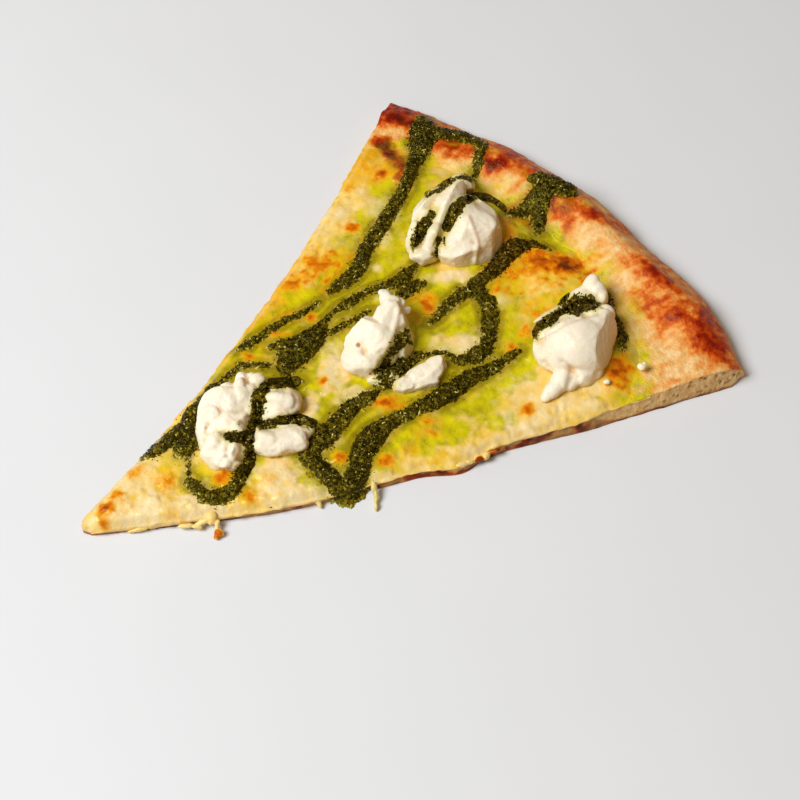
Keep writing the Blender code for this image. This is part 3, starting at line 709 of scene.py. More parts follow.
class TopLook:
    """What lies at places of the slice's top: one look that the dough and the cheese share.

    Each mask is a number for each place, from 0 to 1 unless it says otherwise.
    """

    clots = Swells(2.2, 85, 3, 0.8)
    veil_grain = Swells(3.0, 70, 3)
    wander = Swells(8.0, 75, 3, 2.6)
    melt_edge = Swells(4.0, 76, 3, 0.5)
    marbling = Swells(6.0, 83, 3, 0.36)
    fine_marbling = Swells(2.6, 84, 2, 0.18)
    thinning = Swells(3.4, 87, 2, 0.55)
    gold_patches = Swells(6.0, 88, 3, 0.9)
    streaks = Swells(1.7, 22, 3, 0.18)  # along the rim
    streaks_at = 220  # the radius for which their width holds
    skin_patches = Swells(6.0, 21, 3)
    mottle = Swells(3.0, 23, 4, 0.21)
    crest_in, crest_spread = 8.5, 7.5  # the rim's brownest line
    seam_from, seam_to = -14, 42  # where oil has gathered along the cheese's edge
    seep_reach = 8.5  # how far oil seeps from the pesto
    herb_reach = 3.2
    dry_tip = 58  # the cheese nearer to the apex than this took up little oil
    gold_from, gold_to, gold_by_rim = 66, 158, 176  # where the left cut has browned

    def __init__(self, x: np.ndarray, y: np.ndarray, across: np.ndarray, inside: np.ndarray) -> None:
        """Works the masks out.

        Args:
            x: Places, first number, in mm in the slice's plan.
            y: Places, second number.
            across: Their shares across the slice, -1 to 1.
            inside: How far they lie inside the rim's edge, in mm.
        """
        here = flat(x, y)
        radius = PLAN.rim_radius(across) - inside
        self.gap, _ = reach_of_routes(x, y, ALL_ROUTES)
        # dark crust, with one spot of painted shadow right of the spoonful by the rim
        self.dark = spotted(x, y, DARK_CRUST_AND_SHADE, 3, 0.85, 0.6)
        self.orange = spotted(x, y, ORANGE_CRUST, 4, 0.95, 0.55)
        pale = spotted(x, y, PALE_CRUST, 6, 0.8, 0.3)
        self.milk = spotted(x, y, MILKY_SPOTS, 73, 0.7, 0.7)
        self.clotted = 0.8 + self.clots.at(here)
        # the toasted spots and the veil also lay painted shadow beside three spoonfuls
        spots = 0.92 * spotted(x, y, TOAST_AND_SHADE_SPOTS, 71, 1.6, 0.8)
        veil = spotted(x, y, TOAST_VEIL_AND_SHADE, 72, 0.9, 0.6)
        self.toast_and_shade = np.maximum(spots, veil * (1 + self.veil_grain.at(here)))
        film = inside - PLAN.cheese_edge_at(across) + PLAN.cheese_lead + self.wander.at(here)
        self.thick = film / PLAN.cheese_taper
        melt = eased(0.45 + self.thick + self.melt_edge.at(here))
        self.melt = melt * (1 - 0.95 * self.dark) * (1 - 0.75 * self.orange)
        self.oil = self.oiled(x, y, across, radius, melt, pale)
        self.gold = self.golden(here, across, radius, veil)
        self.herbs = np.exp(-np.maximum(self.gap - 0.5, 0) / self.herb_reach) + 0.3 * self.oil
        self.bake = self.baked(here, across, inside, pale)

    def oiled(
        self, x: np.ndarray, y: np.ndarray, across: np.ndarray, radius: np.ndarray, melt: np.ndarray,
        pale: np.ndarray,
    ) -> np.ndarray:
        """Where oil lies: beside the pesto, in pools and along the cheese's edge by the rim."""
        here = flat(x, y)
        seam = np.exp(-(((self.thick - 0.2) / 0.3) ** 2))
        seam = seam * eased((x - self.seam_from) / 20) * eased((self.seam_to - x) / 14)
        pools = spotted(x, y, OIL_POOLS, 81, 0.9, 0.5)
        seep = 1.2 * np.exp(-((np.maximum(self.gap, 0) / self.seep_reach) ** 1.3)) * (0.25 + 0.75 * melt)
        from_left = eased((across + 1.04) / 0.26)
        from_tip = eased((radius - self.dry_tip) / 30)
        raw = np.maximum(seep, 1.35 * pools) * (0.4 + 0.6 * from_left) * (0.45 + 0.55 * from_tip)
        raw = np.maximum(raw, seam)
        marbled = self.marbling.at(here) + self.fine_marbling.at(here)
        thinned = np.clip(1.02 + self.thinning.at(here), 0.5, 1)
        oil = eased((raw + marbled - 0.75 * self.milk - 0.16) / 0.55) * thinned * (1 - 0.97 * self.dark)
        return oil * (1 - 0.9 * np.clip(2 * pale, 0, 1) * eased(1.3 - self.thick))

    def golden(
        self, here: np.ndarray, across: np.ndarray, radius: np.ndarray, veil: np.ndarray
    ) -> np.ndarray:
        """Where the cheese is golden: along the left cut, round toasted spots and in the veil's painted
        shadow beside two spoonfuls.
        """
        along_cut = eased((-across - 0.42) / 0.4) * eased((radius - self.gold_from) / 30)
        along_cut = along_cut * eased((self.gold_to - radius) / 30)
        by_rim = eased((-across - 0.5) / 0.3) * eased((radius - self.gold_by_rim) / 16)
        gold = np.maximum(np.maximum(along_cut, 0.9 * by_rim), 0.85 * veil)
        return np.clip(0.9 * gold * (0.85 + self.gold_patches.at(here)), 0, 1)

    def baked(
        self, here: np.ndarray, across: np.ndarray, inside: np.ndarray, pale: np.ndarray
    ) -> np.ndarray:
        """How far the dough's skin is baked, from cream to near black."""
        streaks = self.streaks.at(flat(across * PLAN.wedge / 2 * self.streaks_at, inside * 0.3))
        crest = np.exp(-(((inside - self.crest_in) / self.crest_spread) ** 2))
        left = np.clip(-across, 0, 1)
        base = 0.16 + (0.15 + 0.30 * left) * crest + (0.10 + 0.1 * left) * self.skin_patches.at(here)
        base = (base + 0.18 * eased((5.5 - inside) / 5.0)) * (1 - 0.6 * pale)
        mottle = self.mottle.at(here)
        bake = base + (0.56 - base) * self.orange
        bake = bake + (0.76 + 0.14 * left + mottle - bake) * self.dark
        return bake + streaks + mottle * eased(bake / 0.4)

    def masks(self, share: np.ndarray) -> dict[str, np.ndarray]:
        """What the finishes read, on the top only, where share is 1."""
        return {
            "bake": self.bake,
            "melt": self.melt,
            "oil": 0.97 * self.oil * share,
            "toast_and_shade": self.toast_and_shade * share,
            "milk": np.clip(self.milk * self.clotted, 0, 0.9) * share,
            "gold": self.gold,
            "herbs": np.clip(self.herbs, 0, 1) * (1 - 0.6 * self.milk) * share,
        }


# meshes


def mesh_from(shape: BMesh, name: str) -> Mesh:
    """A new mesh of the shape, which is used up."""
    mesh = bpy.data.meshes.new(name)
    shape.to_mesh(mesh)
    shape.free()
    return mesh


def pour(part: BMesh, whole: BMesh) -> None:
    """Adds a part to the whole; the part is used up."""
    holder = mesh_from(part, "part")
    whole.from_mesh(holder)
    bpy.data.meshes.remove(holder)


def ring_sheet(columns: int, rows: int, rings: int) -> Mesh:
    """A sheet with walls and an underside, still in shares.

    Its X is the share across and its Y the share along, 0 to 1, and its Z runs from 0 on the
    sheet to -1 at the foot of the walls.

    Args:
        columns: Faces across.
        rows: Faces along.
        rings: Faces down the walls.

    Returns:
        The mesh, to be placed by a function.
    """
    shape = bmesh.new()
    bmesh.ops.create_grid(shape, x_segments=columns, y_segments=rows, size=0.5)
    bmesh.ops.translate(shape, verts=shape.verts, vec=(0.5, 0.5, 0.0))
    rim = [edge for edge in shape.edges if edge.is_boundary]
    for _ in range(rings):
        made = bmesh.ops.extrude_edge_only(shape, edges=rim)["geom"]
        lower = [item for item in made if isinstance(item, BMVert)]
        bmesh.ops.translate(shape, verts=lower, vec=(0.0, 0.0, -1.0 / rings))
        rim = [item for item in made if isinstance(item, BMEdge) and item.is_boundary]
    bmesh.ops.edgeloop_fill(shape, edges=rim)
    return mesh_from(shape, "sheet")


def vertices_of(mesh: Mesh) -> np.ndarray:
    """The mesh's vertices, three numbers to a row."""
    flat_list = np.zeros(len(mesh.vertices) * 3)
    mesh.vertices.foreach_get("co", flat_list)
    return flat_list.reshape(-1, 3)


def normals_of(mesh: Mesh) -> np.ndarray:
    """The mesh's vertex normals, three numbers to a row."""
    flat_list = np.zeros(len(mesh.vertices) * 3, np.float32)
    mesh.vertex_normals.foreach_get("vector", flat_list)
    return flat_list.reshape(-1, 3).astype(float)


def hollows_of(mesh: Mesh, rounds: int) -> np.ndarray:
    """How deep each vertex lies in a dip, in the mesh's unit, negative on a hump."""
    points = vertices_of(mesh)
    ends = np.zeros(len(mesh.edges) * 2, np.int32)
    mesh.edges.foreach_get("vertices", ends)
    one, other = ends.reshape(-1, 2).T
    count = len(points)
    near = np.maximum(np.bincount(one, minlength=count) + np.bincount(other, minlength=count), 1)
    soft = points.copy()
    for _ in range(rounds):
        sums = [
            np.bincount(one, soft[other, axis], count) + np.bincount(other, soft[one, axis], count)
            for axis in range(3)
        ]
        soft = np.stack(sums, axis=1) / near[:, None]
    return ((soft - points) * normals_of(mesh)).sum(axis=1)


def place_vertices(mesh: Mesh, points: np.ndarray) -> None:
    """Moves the mesh's vertices."""
    mesh.vertices.foreach_set("co", points.astype(np.float32).ravel())
    mesh.update()


def paint(mesh: Mesh, masks: dict[str, np.ndarray]) -> None:
    """Stores one number for each vertex under each name, for the finish to read."""
    for name, values in masks.items():
        layer = mesh.attributes.get(name) or mesh.attributes.new(name, "FLOAT", "POINT")
        layer.data.foreach_set("value", np.clip(values, 0, 1).astype(np.float32))


def skinned(raw: Mesh, voxel: float, softness: int) -> Mesh:
    """One smooth skin round all the lumps of a mesh, with faces of about the voxel's size."""
    holder = placed("lumps", raw)
    skin = holder.modifiers.new("skin", "REMESH")
    skin.mode = "VOXEL"
    skin.voxel_size = voxel
    soft = holder.modifiers.new("soft", "SMOOTH")
    soft.factor = 0.5
    soft.iterations = softness
    seen = holder.evaluated_get(bpy.context.evaluated_depsgraph_get())
    mesh = bpy.data.meshes.new_from_object(seen)
    bpy.data.objects.remove(holder)
    return mesh


def dabs(seen: np.ndarray, spots: tuple) -> np.ndarray:
    """How strongly round, soft-edged dabs cover places.

    Args:
        seen: Where the places show in the picture.
        spots: Rows of place in the picture, size and strength.

    Returns:
        One number for each place, 0 to 1.
    """
    value = np.zeros(len(seen))
    for u, v, size, strength in spots:
        gap = np.hypot(seen[:, 0] - u, seen[:, 1] - v)
        value = np.maximum(value, strength * eased((size * 1.3 - gap) / (size * 0.6)))
    return value


def tidy_mesh(mesh: Mesh, merge: float) -> None:
    """Joins vertices that meet, drops faces without area and turns all faces outwards."""
    shape = bmesh.new()
    shape.from_mesh(mesh)
    bmesh.ops.remove_doubles(shape, verts=shape.verts, dist=merge)
    bmesh.ops.dissolve_degenerate(shape, edges=shape.edges, dist=merge)
    bmesh.ops.recalc_face_normals(shape, faces=shape.faces)
    shape.to_mesh(mesh)
    shape.free()


def finished_piece(
    name: str, mesh: Mesh, finish: Material, replaces: tuple = (),
    sharp_deg: float = 180.0,
) -> Object:
    """The mesh as a piece that rides with the slice.

    Args:
        name: The piece's name.
        mesh: Its mesh, in mm in the slice's plan.
        finish: Its material.
        replaces: The model's nodes that it stands for.
        sharp_deg: Edges sharper than this show as edges.

    Returns:
        The piece, in metres in the model's frame.
    """
    place_vertices(mesh, (vertices_of(mesh) + PLAN_TO_MODEL) * MM)
    mesh.name = name
    mesh.shade_smooth()
    if sharp_deg < 180:
        mesh.set_sharp_from_angle(angle=math.radians(sharp_deg))
    mesh.materials.clear()
    mesh.materials.append(finish)
    made = placed(name, mesh)
    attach(made, ROOT)
    if replaces:
        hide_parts(*replaces)
    log.info("%s: %d faces", name, len(mesh.polygons))
    return made


class Surroundings:
    """The pieces made so far, for finding what lies below or in view. Lengths in mm."""

    sky: float = 200.0
    down: np.ndarray = np.array((0.0, 0.0, -1.0))

    def __init__(self, trees: tuple | list = ()) -> None:
        """Starts with the trees of what is already there."""
        self.trees: list[BVHTree] = list(trees)

    def take_in(self, mesh: Mesh) -> None:
        """Adds a mesh that is in the model's frame."""
        shape = bmesh.new()
        shape.from_mesh(mesh)
        self.trees.append(BVHTree.FromBMesh(shape))
        shape.free()

    def shoot(self, start: np.ndarray, way: np.ndarray) -> tuple[np.ndarray, np.ndarray] | None:
        """The first place hit and the normal there, or None."""
        origin = Vector((start + PLAN_TO_MODEL) * MM)
        best = None
        for tree in self.trees:
            spot, normal, _, distance = tree.ray_cast(origin, Vector(way))
            if spot is not None and (best is None or distance < best[2]):
                best = (np.array(spot) / MM - PLAN_TO_MODEL, np.array(normal), distance)
        return None if best is None else (best[0], best[1])

    def in_view(self, u: float, v: float) -> tuple[np.ndarray, np.ndarray] | None:
        """The place that shows at (u, v) in the picture and the normal there, or None."""
        return self.shoot(np.array(EYE.place), EYE.ray(u, v))

    def from_above(self, x: float, y: float) -> tuple[np.ndarray, np.ndarray] | None:
        """The topmost place at (x, y) and the normal there, or None."""
        return self.shoot(np.array((x, y, self.sky)), self.down)

    def height(self, x: float, y: float) -> float:
        """The height of the topmost surface at (x, y), or 0 where there is none."""
        hit = self.from_above(x, y)
        return 0.0 if hit is None else float(hit[0][2])

    def heights(self, points: np.ndarray) -> np.ndarray:
        """The height of the topmost surface at each place."""
        return np.array([self.height(x, y) for x, y in points[:, :2]])


# finishes


def colour(code: str) -> tuple[float, float, float, float]:
    """An sRGB hex code as linear shares and full alpha."""
    shares = [int(code[i : i + 2], 16) / 255 for i in (0, 2, 4)]
    linear = [s / 12.92 if s <= 0.04045 else ((s + 0.055) / 1.055) ** 2.4 for s in shares]
    return (*linear, 1.0)


def per_mm(size: float) -> float:
    """The scale that gives a pattern of that size in mm on coordinates in metres."""
    return 1.0 / (size * MM)


def feed(tree: NodeTree, node: Node, inputs: dict) -> None:
    """Sets a node's sockets.

    Args:
        tree: The node tree.
        node: The node.
        inputs: Socket name or number, to a value, a colour code or the socket that feeds it.
    """
    for socket, value in inputs.items():
        if isinstance(value, NodeSocket):
            tree.links.new(value, node.inputs[socket])
        else:
            node.inputs[socket].default_value = colour(value) if isinstance(value, str) else value


def add(
    tree: NodeTree, kind: str, inputs: dict | None = None, out: str | int = 0,
    stops: tuple = (), **settings: object
) -> NodeSocket:
    """A new node with its settings and its links.

    Args:
        tree: The node tree.
        kind: The node's type, without the "ShaderNode" that every type starts with.
        inputs: Socket name or number, to a value, a colour code or the socket that feeds it.
        out: The output that is wanted.
        stops: Places and colour codes, for a colour ramp.
        **settings: The node's own properties.

    Returns:
        The wanted output.
    """
    node = tree.nodes.new("ShaderNode" + kind)
    for name, value in settings.items():
        setattr(node, name, value)
    feed(tree, node, inputs or {})
    if stops:
        elements = node.color_ramp.elements
        elements[0].position, elements[1].position = stops[0][0], stops[-1][0]
        for position, _ in stops[1:-1]:
            elements.new(position)
        for element, (_, code) in zip(elements, stops):
            element.color = colour(code)
    return node.outputs[out]


def fresh_material(name: str) -> tuple[Material, Node, NodeSocket]:
    """A new material, with its shader and its object coordinates."""
    material = bpy.data.materials.new(name)
    material.use_nodes = True
    shader = material.node_tree.nodes["Principled BSDF"]
    return material, shader, add(material.node_tree, "TexCoord", out="Object")


@dataclass(frozen=True)
class BakedTop:
    """The colours of the slice's top, where dough and cheese run into each other.

    The dough's skin turns from cream through gold and rust to near black. The cheese on it is
    cream to butter yellow, goes golden at the cut, orange to brown where a blister was
    toasted, milky where it is thick and lime where the pesto's oil has soaked in. The same
    gold and browns also lay painted shadow beside three spoonfuls.
    """

    broad: float = 5.0  # mm across a swell
    fine: float = 2.4  # mm
    crumb: float = 1.2  # mm between loose crumbs of herb
    crumbs_left_out: float = 0.7
    cream: str = "F4D684"
    butter: str = "E9BE34"
    golden: str = "E6AA06"
    milk: str = "F2DEB0"
    skin: tuple = (
        (0.0, "F4D29A"), (0.14, "ECBA76"), (0.30, "E8984C"), (0.46, "D66618"), (0.60, "B63A02"),
        (0.76, "901200"), (1.0, "520500"),
    )
    lime: tuple = ((0.34, "A69A00"), (0.50, "C6BC00"), (0.66, "DED60C"))
    # browns of toasted blisters, also used for painted shadow beside the spoonfuls
    toast_and_shade: tuple = (
        (0.12, "F0BE20"), (0.36, "E8980C"), (0.58, "D06C04"), (0.82, "9C4000"), (1.0, "6A2400"),
    )
    soaked: str = "968604"
    herb: str = "3A3A04"

    def make(self, tree: NodeTree, place: NodeSocket) -> tuple[NodeSocket, NodeSocket, NodeSocket]:
        """Adds the nodes.

        Args:
            tree: The node tree.
            place: The coordinates.

        Returns:
            The colour, the fine mottling and the oil.
        """
        bake, melt, gold, oil, herbs, milk, toast_and_shade = (
            add(tree, "Attribute", out="Fac", attribute_name=name)
            for name in ("bake", "melt", "gold", "oil", "herbs", "milk", "toast_and_shade")
        )
        broad = add(tree, "TexNoise", {"Vector": place, "Scale": per_mm(self.broad), "Detail": 2.0})
        finely = {"Scale": per_mm(self.fine), "Detail": 3.0, "Roughness": 0.55}
        fine = add(tree, "TexNoise", {"Vector": place, **finely})
        mixed = add(tree, "Mix", {0: 0.35, 2: broad, 3: fine}, data_type="FLOAT")
        speckled = add(tree, "Math", {0: fine, 1: 1.0, 2: -0.5}, operation="MULTIPLY_ADD")
        browned, scorched, edged = (
            add(tree, "Math", {0: speckled, 1: share, 2: value}, operation="MULTIPLY_ADD")
            for share, value in ((0.7, bake), (0.8, toast_and_shade), (0.3, toast_and_shade))
        )
        buttery = add(tree, "MapRange", {0: mixed, 1: 0.38, 2: 0.60})
        beside = add(tree, "Math", {0: herbs, 1: 5.0}, operation="POWER")
        plain = add(tree, "Mix", {0: buttery, 6: self.cream, 7: self.butter}, 2, data_type="RGBA")
        cheese = add(tree, "Mix", {0: gold, 6: plain, 7: self.golden}, 2, data_type="RGBA")
        lime = add(tree, "ValToRGB", {0: mixed}, stops=self.lime)
        soaked = add(tree, "Mix", {0: beside, 6: lime, 7: self.soaked}, 2, data_type="RGBA")
        # this mask of toasted spots also holds painted shadow beside the spoonfuls, laid in the same browns
        seared_and_shaded = add(tree, "MapRange", {0: edged, 1: 0.04, 2: 0.42})
        scorch_and_shade = add(tree, "ValToRGB", {0: scorched}, stops=self.toast_and_shade)
        crumbs = add(tree, "TexVoronoi", {"Vector": place, "Scale": per_mm(self.crumb)}, "Distance")
        own = add(tree, "SeparateColor", {0: crumbs.node.outputs["Color"]}, "Red")
        near = add(tree, "MapRange", {0: crumbs, 1: 0.10, 2: 0.22, 3: 1.0, 4: 0.0})
        chosen = add(tree, "Math", {0: own, 1: self.crumbs_left_out}, operation="GREATER_THAN")
        few = add(tree, "Math", {0: near, 1: chosen}, operation="MULTIPLY")
        strewn = add(tree, "Math", {0: few, 1: herbs}, operation="MULTIPLY")
        top = add(tree, "ValToRGB", {0: browned}, stops=self.skin)
        for share, layer in (
            (melt, cheese), (oil, soaked), (milk, self.milk), (seared_and_shaded, scorch_and_shade), (strewn, self.herb),
        ):
            top = add(tree, "Mix", {0: share, 6: top, 7: layer}, 2, data_type="RGBA")
        return top, fine, oil


@dataclass(frozen=True)
class MeltedMozzarella:
    """Low-moisture mozzarella, melted and browned in a deck oven, wet with pesto oil.

    The milk fat makes it glossy and a little see-through, so its pimples catch small bright
    glints and its shaded sides stay warm.
    """

    name: str = "melted_mozzarella"
    roughness: float = 0.24
    oiled: float = 0.10  # roughness under oil
    pimple: float = 1.7  # mm
    wall: str = "ECC684"
    glint: str = "FFF8AD"

    def build(self) -> Material:
        """Makes the material."""
        material, shader, place = fresh_material(self.name)
        tree = material.node_tree
        top, fine, oil = BakedTop().make(tree, place)
        cut = add(tree, "Attribute", out="Fac", attribute_name="cut")
        pimples = add(tree, "TexNoise", {"Vector": place, "Scale": per_mm(self.pimple), "Detail": 2.0})
        patches = add(tree, "MapRange", {0: fine, 1: 0.35, 2: 0.65})
        gloss = add(tree, "MapRange", {0: oil, 3: self.roughness, 4: self.oiled})
        feed(tree, shader, {
            "Base Color": add(tree, "Mix", {0: cut, 6: top, 7: self.wall}, 2, data_type="RGBA"),
            "Roughness": add(tree, "Math", {0: patches, 1: 0.10, 2: gloss}, operation="MULTIPLY_ADD"),
            "Normal": add(tree, "Bump", {"Height": pimples, "Strength": 0.6, "Distance": 0.5 * MM}),
            "IOR": 1.40,
            "Specular Tint": self.glint,
            "Subsurface Weight": 0.10,
            "Subsurface Radius": (1.0, 0.60, 0.15),
            "Subsurface Scale": 1.4 * MM,
        })
        return material


@dataclass(frozen=True)
class BakedDough:
    """Wheat dough baked on a deck: pale tan skin that turns gold, rust and near black.

    The skin is dry and matt where it is pale and a little glossy where blisters have burnt,
    the cut shows an open, tan crumb with painted shade in its pores, and the underside is
    scorched by the deck.
    """

    name: str = "baked_pizza_dough"
    roughness: float = 0.58
    burnt: float = 0.20  # roughness of a burnt blister
    oiled: float = 0.22  # roughness under oil
    deck: float = 7.0  # mm across a scorched patch of the underside
    blister: float = 0.9  # mm
    crumb: tuple = ((0.30, "CC9A5C"), (0.50, "E0B478"), (0.70, "F0D098"))
    # painted shade inside the crumb's pores
    pore: str = "94643A"
    underside: tuple = ((0.30, "C07C3C"), (0.46, "8E4210"), (0.58, "5E2004"), (0.75, "3A0E02"))
    glint: str = "FFE4AA"

    def build(self) -> Material:
        """Makes the material."""
        material, shader, place = fresh_material(self.name)
        tree = material.node_tree
        top, fine, oil = BakedTop().make(tree, place)
        bake, cut, pore, sole = (
            add(tree, "Attribute", out="Fac", attribute_name=name)
            for name in ("bake", "cut", "pore", "sole")
        )
        patches, blisters = (
            add(tree, "TexNoise", {"Vector": place, "Scale": per_mm(size), "Detail": 4.0})
            for size in (self.deck, self.blister)
        )
        crumb = add(tree, "ValToRGB", {0: fine}, stops=self.crumb)
        # the pores get the painted shade colour
        crumb = add(tree, "Mix", {0: pore, 6: crumb, 7: self.pore}, 2, data_type="RGBA")
        deck = add(tree, "ValToRGB", {0: patches}, stops=self.underside)
        sided = add(tree, "Mix", {0: cut, 6: top, 7: crumb}, 2, data_type="RGBA")
        dry = add(tree, "MapRange", {0: bake, 1: 0.35, 2: 0.9, 3: self.roughness, 4: self.burnt})
        feed(tree, shader, {
            "Base Color": add(tree, "Mix", {0: sole, 6: sided, 7: deck}, 2, data_type="RGBA"),
            "Roughness": add(tree, "Mix", {0: oil, 2: dry, 3: self.oiled}, data_type="FLOAT"),
            "Normal": add(tree, "Bump", {"Height": blisters, "Strength": 0.8, "Distance": 0.5 * MM}),
            "IOR": 1.40,
            "Specular Tint": self.glint,
            "Subsurface Weight": 0.06,
            "Subsurface Radius": (1.0, 0.5, 0.2),
            "Subsurface Scale": 1.2 * MM,
        })
        return material


@dataclass(frozen=True)
class SoftRicotta:
    """Whole-milk ricotta, spooned on cold after baking: dense, moist and nearly white.

    Light goes a little way in, which warms its shaded sides, and painted shade lays a warm
    tan in its hollows and on the sides turned from the light. It takes a green stain beside
    the pesto.
    """

    name: str = "whole_milk_ricotta"
    white: str = "FBF4E6"
    cream: str = "F7EAD2"
    # painted shade, laid in hollows and on sides turned from the light
    shaded: str = "E3B878"
    stained: str = "C6BA24"
    singed: str = "A8682E"
    roughness: float = 0.46
    broad: float = 6.0  # mm
    grain: float = 0.8  # mm

    def build(self) -> Material:
        """Makes the material."""
        material, shader, place = fresh_material(self.name)
        tree = material.node_tree
        painted_shade, stain, singe = (
            add(tree, "Attribute", out="Fac", attribute_name=name) for name in ("painted_shade", "stain", "singe")
        )
        broad, fine = (
            add(tree, "TexNoise", {"Vector": place, "Scale": per_mm(size), "Detail": detail})
            for size, detail in ((self.broad, 3.0), (self.grain, 4.0))
        )
        skin = self.white
        # the painted shade mask lays the shaded tan over the skin
        for share, layer in (
            (broad, self.cream), (painted_shade, self.shaded), (stain, self.stained), (singe, self.singed),
        ):
            skin = add(tree, "Mix", {0: share, 6: skin, 7: layer}, 2, data_type="RGBA")
        limits = {1: 0.3, 2: 0.7, 3: self.roughness - 0.14, 4: self.roughness + 0.1}
        feed(tree, shader, {
            "Base Color": skin,
            "Roughness": add(tree, "MapRange", {0: fine, **limits}),
            "Normal": add(tree, "Bump", {"Height": fine, "Strength": 0.35, "Distance": 0.35 * MM}),
            "IOR": 1.42,
            "Subsurface Weight": 0.35,
            "Subsurface Radius": (1.0, 0.55, 0.25),
            "Subsurface Scale": 1.5 * MM,
        })
        return material


@dataclass(frozen=True)
class BasilPesto:
    """Basil, garlic and nuts chopped in olive oil: a dark, coarse paste that glistens.

    Each chopped bit keeps its own green, a few are pale nut or cheese that also serve as
    painted highlights of oil, and the oil between them makes small bright glints.
    """

    name: str = "chopped_basil_in_oil"
    bit: float = 0.9  # mm across one chopped bit
    roughness: float = 0.20
    # the palest stops are pale nut and cheese, and also painted highlights of oil
    greens: tuple = (
        (0.36, "0C0800"), (0.52, "281E00"), (0.66, "4C4000"), (0.79, "786808"), (0.90, "AA9C30"),
        (1.0, "DCD484"),
    )
    browns: tuple = (
        (0.36, "0C0400"), (0.55, "2C1600"), (0.72, "583402"), (0.90, "8C6414"), (1.0, "BC9C40"),
    )
    glint: str = "FFF77C"

    def build(self) -> Material:
        """Makes the material."""
        material, shader, place = fresh_material(self.name)
        tree = material.node_tree
        at = {"Vector": place, "Scale": per_mm(self.bit)}
        bits = add(tree, "TexVoronoi", at, "Distance")
        dust = add(tree, "TexNoise", {**at, "Detail": 3.0, "Roughness": 0.75})
        chosen = add(tree, "SeparateColor", {0: bits.node.outputs["Color"]}, "Green")
        tone, burnt = (
            add(tree, "Attribute", out="Fac", attribute_name=name) for name in ("tone", "burnt")
        )
        level = -0.05
        for share, value in ((1.0, tone), (0.34, chosen), (0.80, dust)):
            level = add(tree, "Math", {0: value, 1: share, 2: level}, operation="MULTIPLY_ADD")
        green = add(tree, "ValToRGB", {0: level}, stops=self.greens)
        brown = add(tree, "ValToRGB", {0: level}, stops=self.browns)
        limits = {1: 0.35, 2: 0.65, 3: self.roughness - 0.12, 4: self.roughness + 0.14}
        coarse = add(tree, "Bump", {"Height": bits, "Strength": 0.5, "Distance": 0.4 * MM}, invert=True)
        feed(tree, shader, {
            "Base Color": add(tree, "Mix", {0: burnt, 6: green, 7: brown}, 2, data_type="RGBA"),
            "Roughness": add(tree, "MapRange", {0: dust, **limits}),
            "Normal": add(
                tree, "Bump", {"Height": dust, "Strength": 0.8, "Distance": 0.4 * MM, "Normal": coarse},
            ),
            "IOR": 1.42,
            "Specular Tint": self.glint,
        })
        return material


@dataclass(frozen=True)
class PaintedFloor:
    """Smooth pale paint on a studio floor: even, matt, and hardly mottled."""

    name: str = "studio_floor"
    tint: str = "DEE3EC"
    mottle: str = "E2E7F0"
    mottle_size: float = 60.0  # mm

    def build(self) -> Material:
        """Makes the material."""
        material, shader, place = fresh_material(self.name)
        tree = material.node_tree
        share = add(tree, "TexNoise", {"Vector": place, "Scale": per_mm(self.mottle_size), "Detail": 2.0})
        tint = add(tree, "Mix", {0: share, 6: self.tint, 7: self.mottle}, 2, data_type="RGBA")
        feed(tree, shader, {"Base Color": tint, "Roughness": 0.7})
        return material


class Finish(Enum):
    """The finishes used on the slice."""

    CHEESE = MeltedMozzarella()
    DOUGH = BakedDough()
    RICOTTA = SoftRicotta()
    PESTO = BasilPesto()
    FLOOR = PaintedFloor()

    def material(self) -> Material:
        """The finish's material, made once."""
        return bpy.data.materials.get(self.value.name) or self.value.build()


# the dough


AT_CUT = 0.999  # vertices this far across lie on a cut, and this far down at the foot


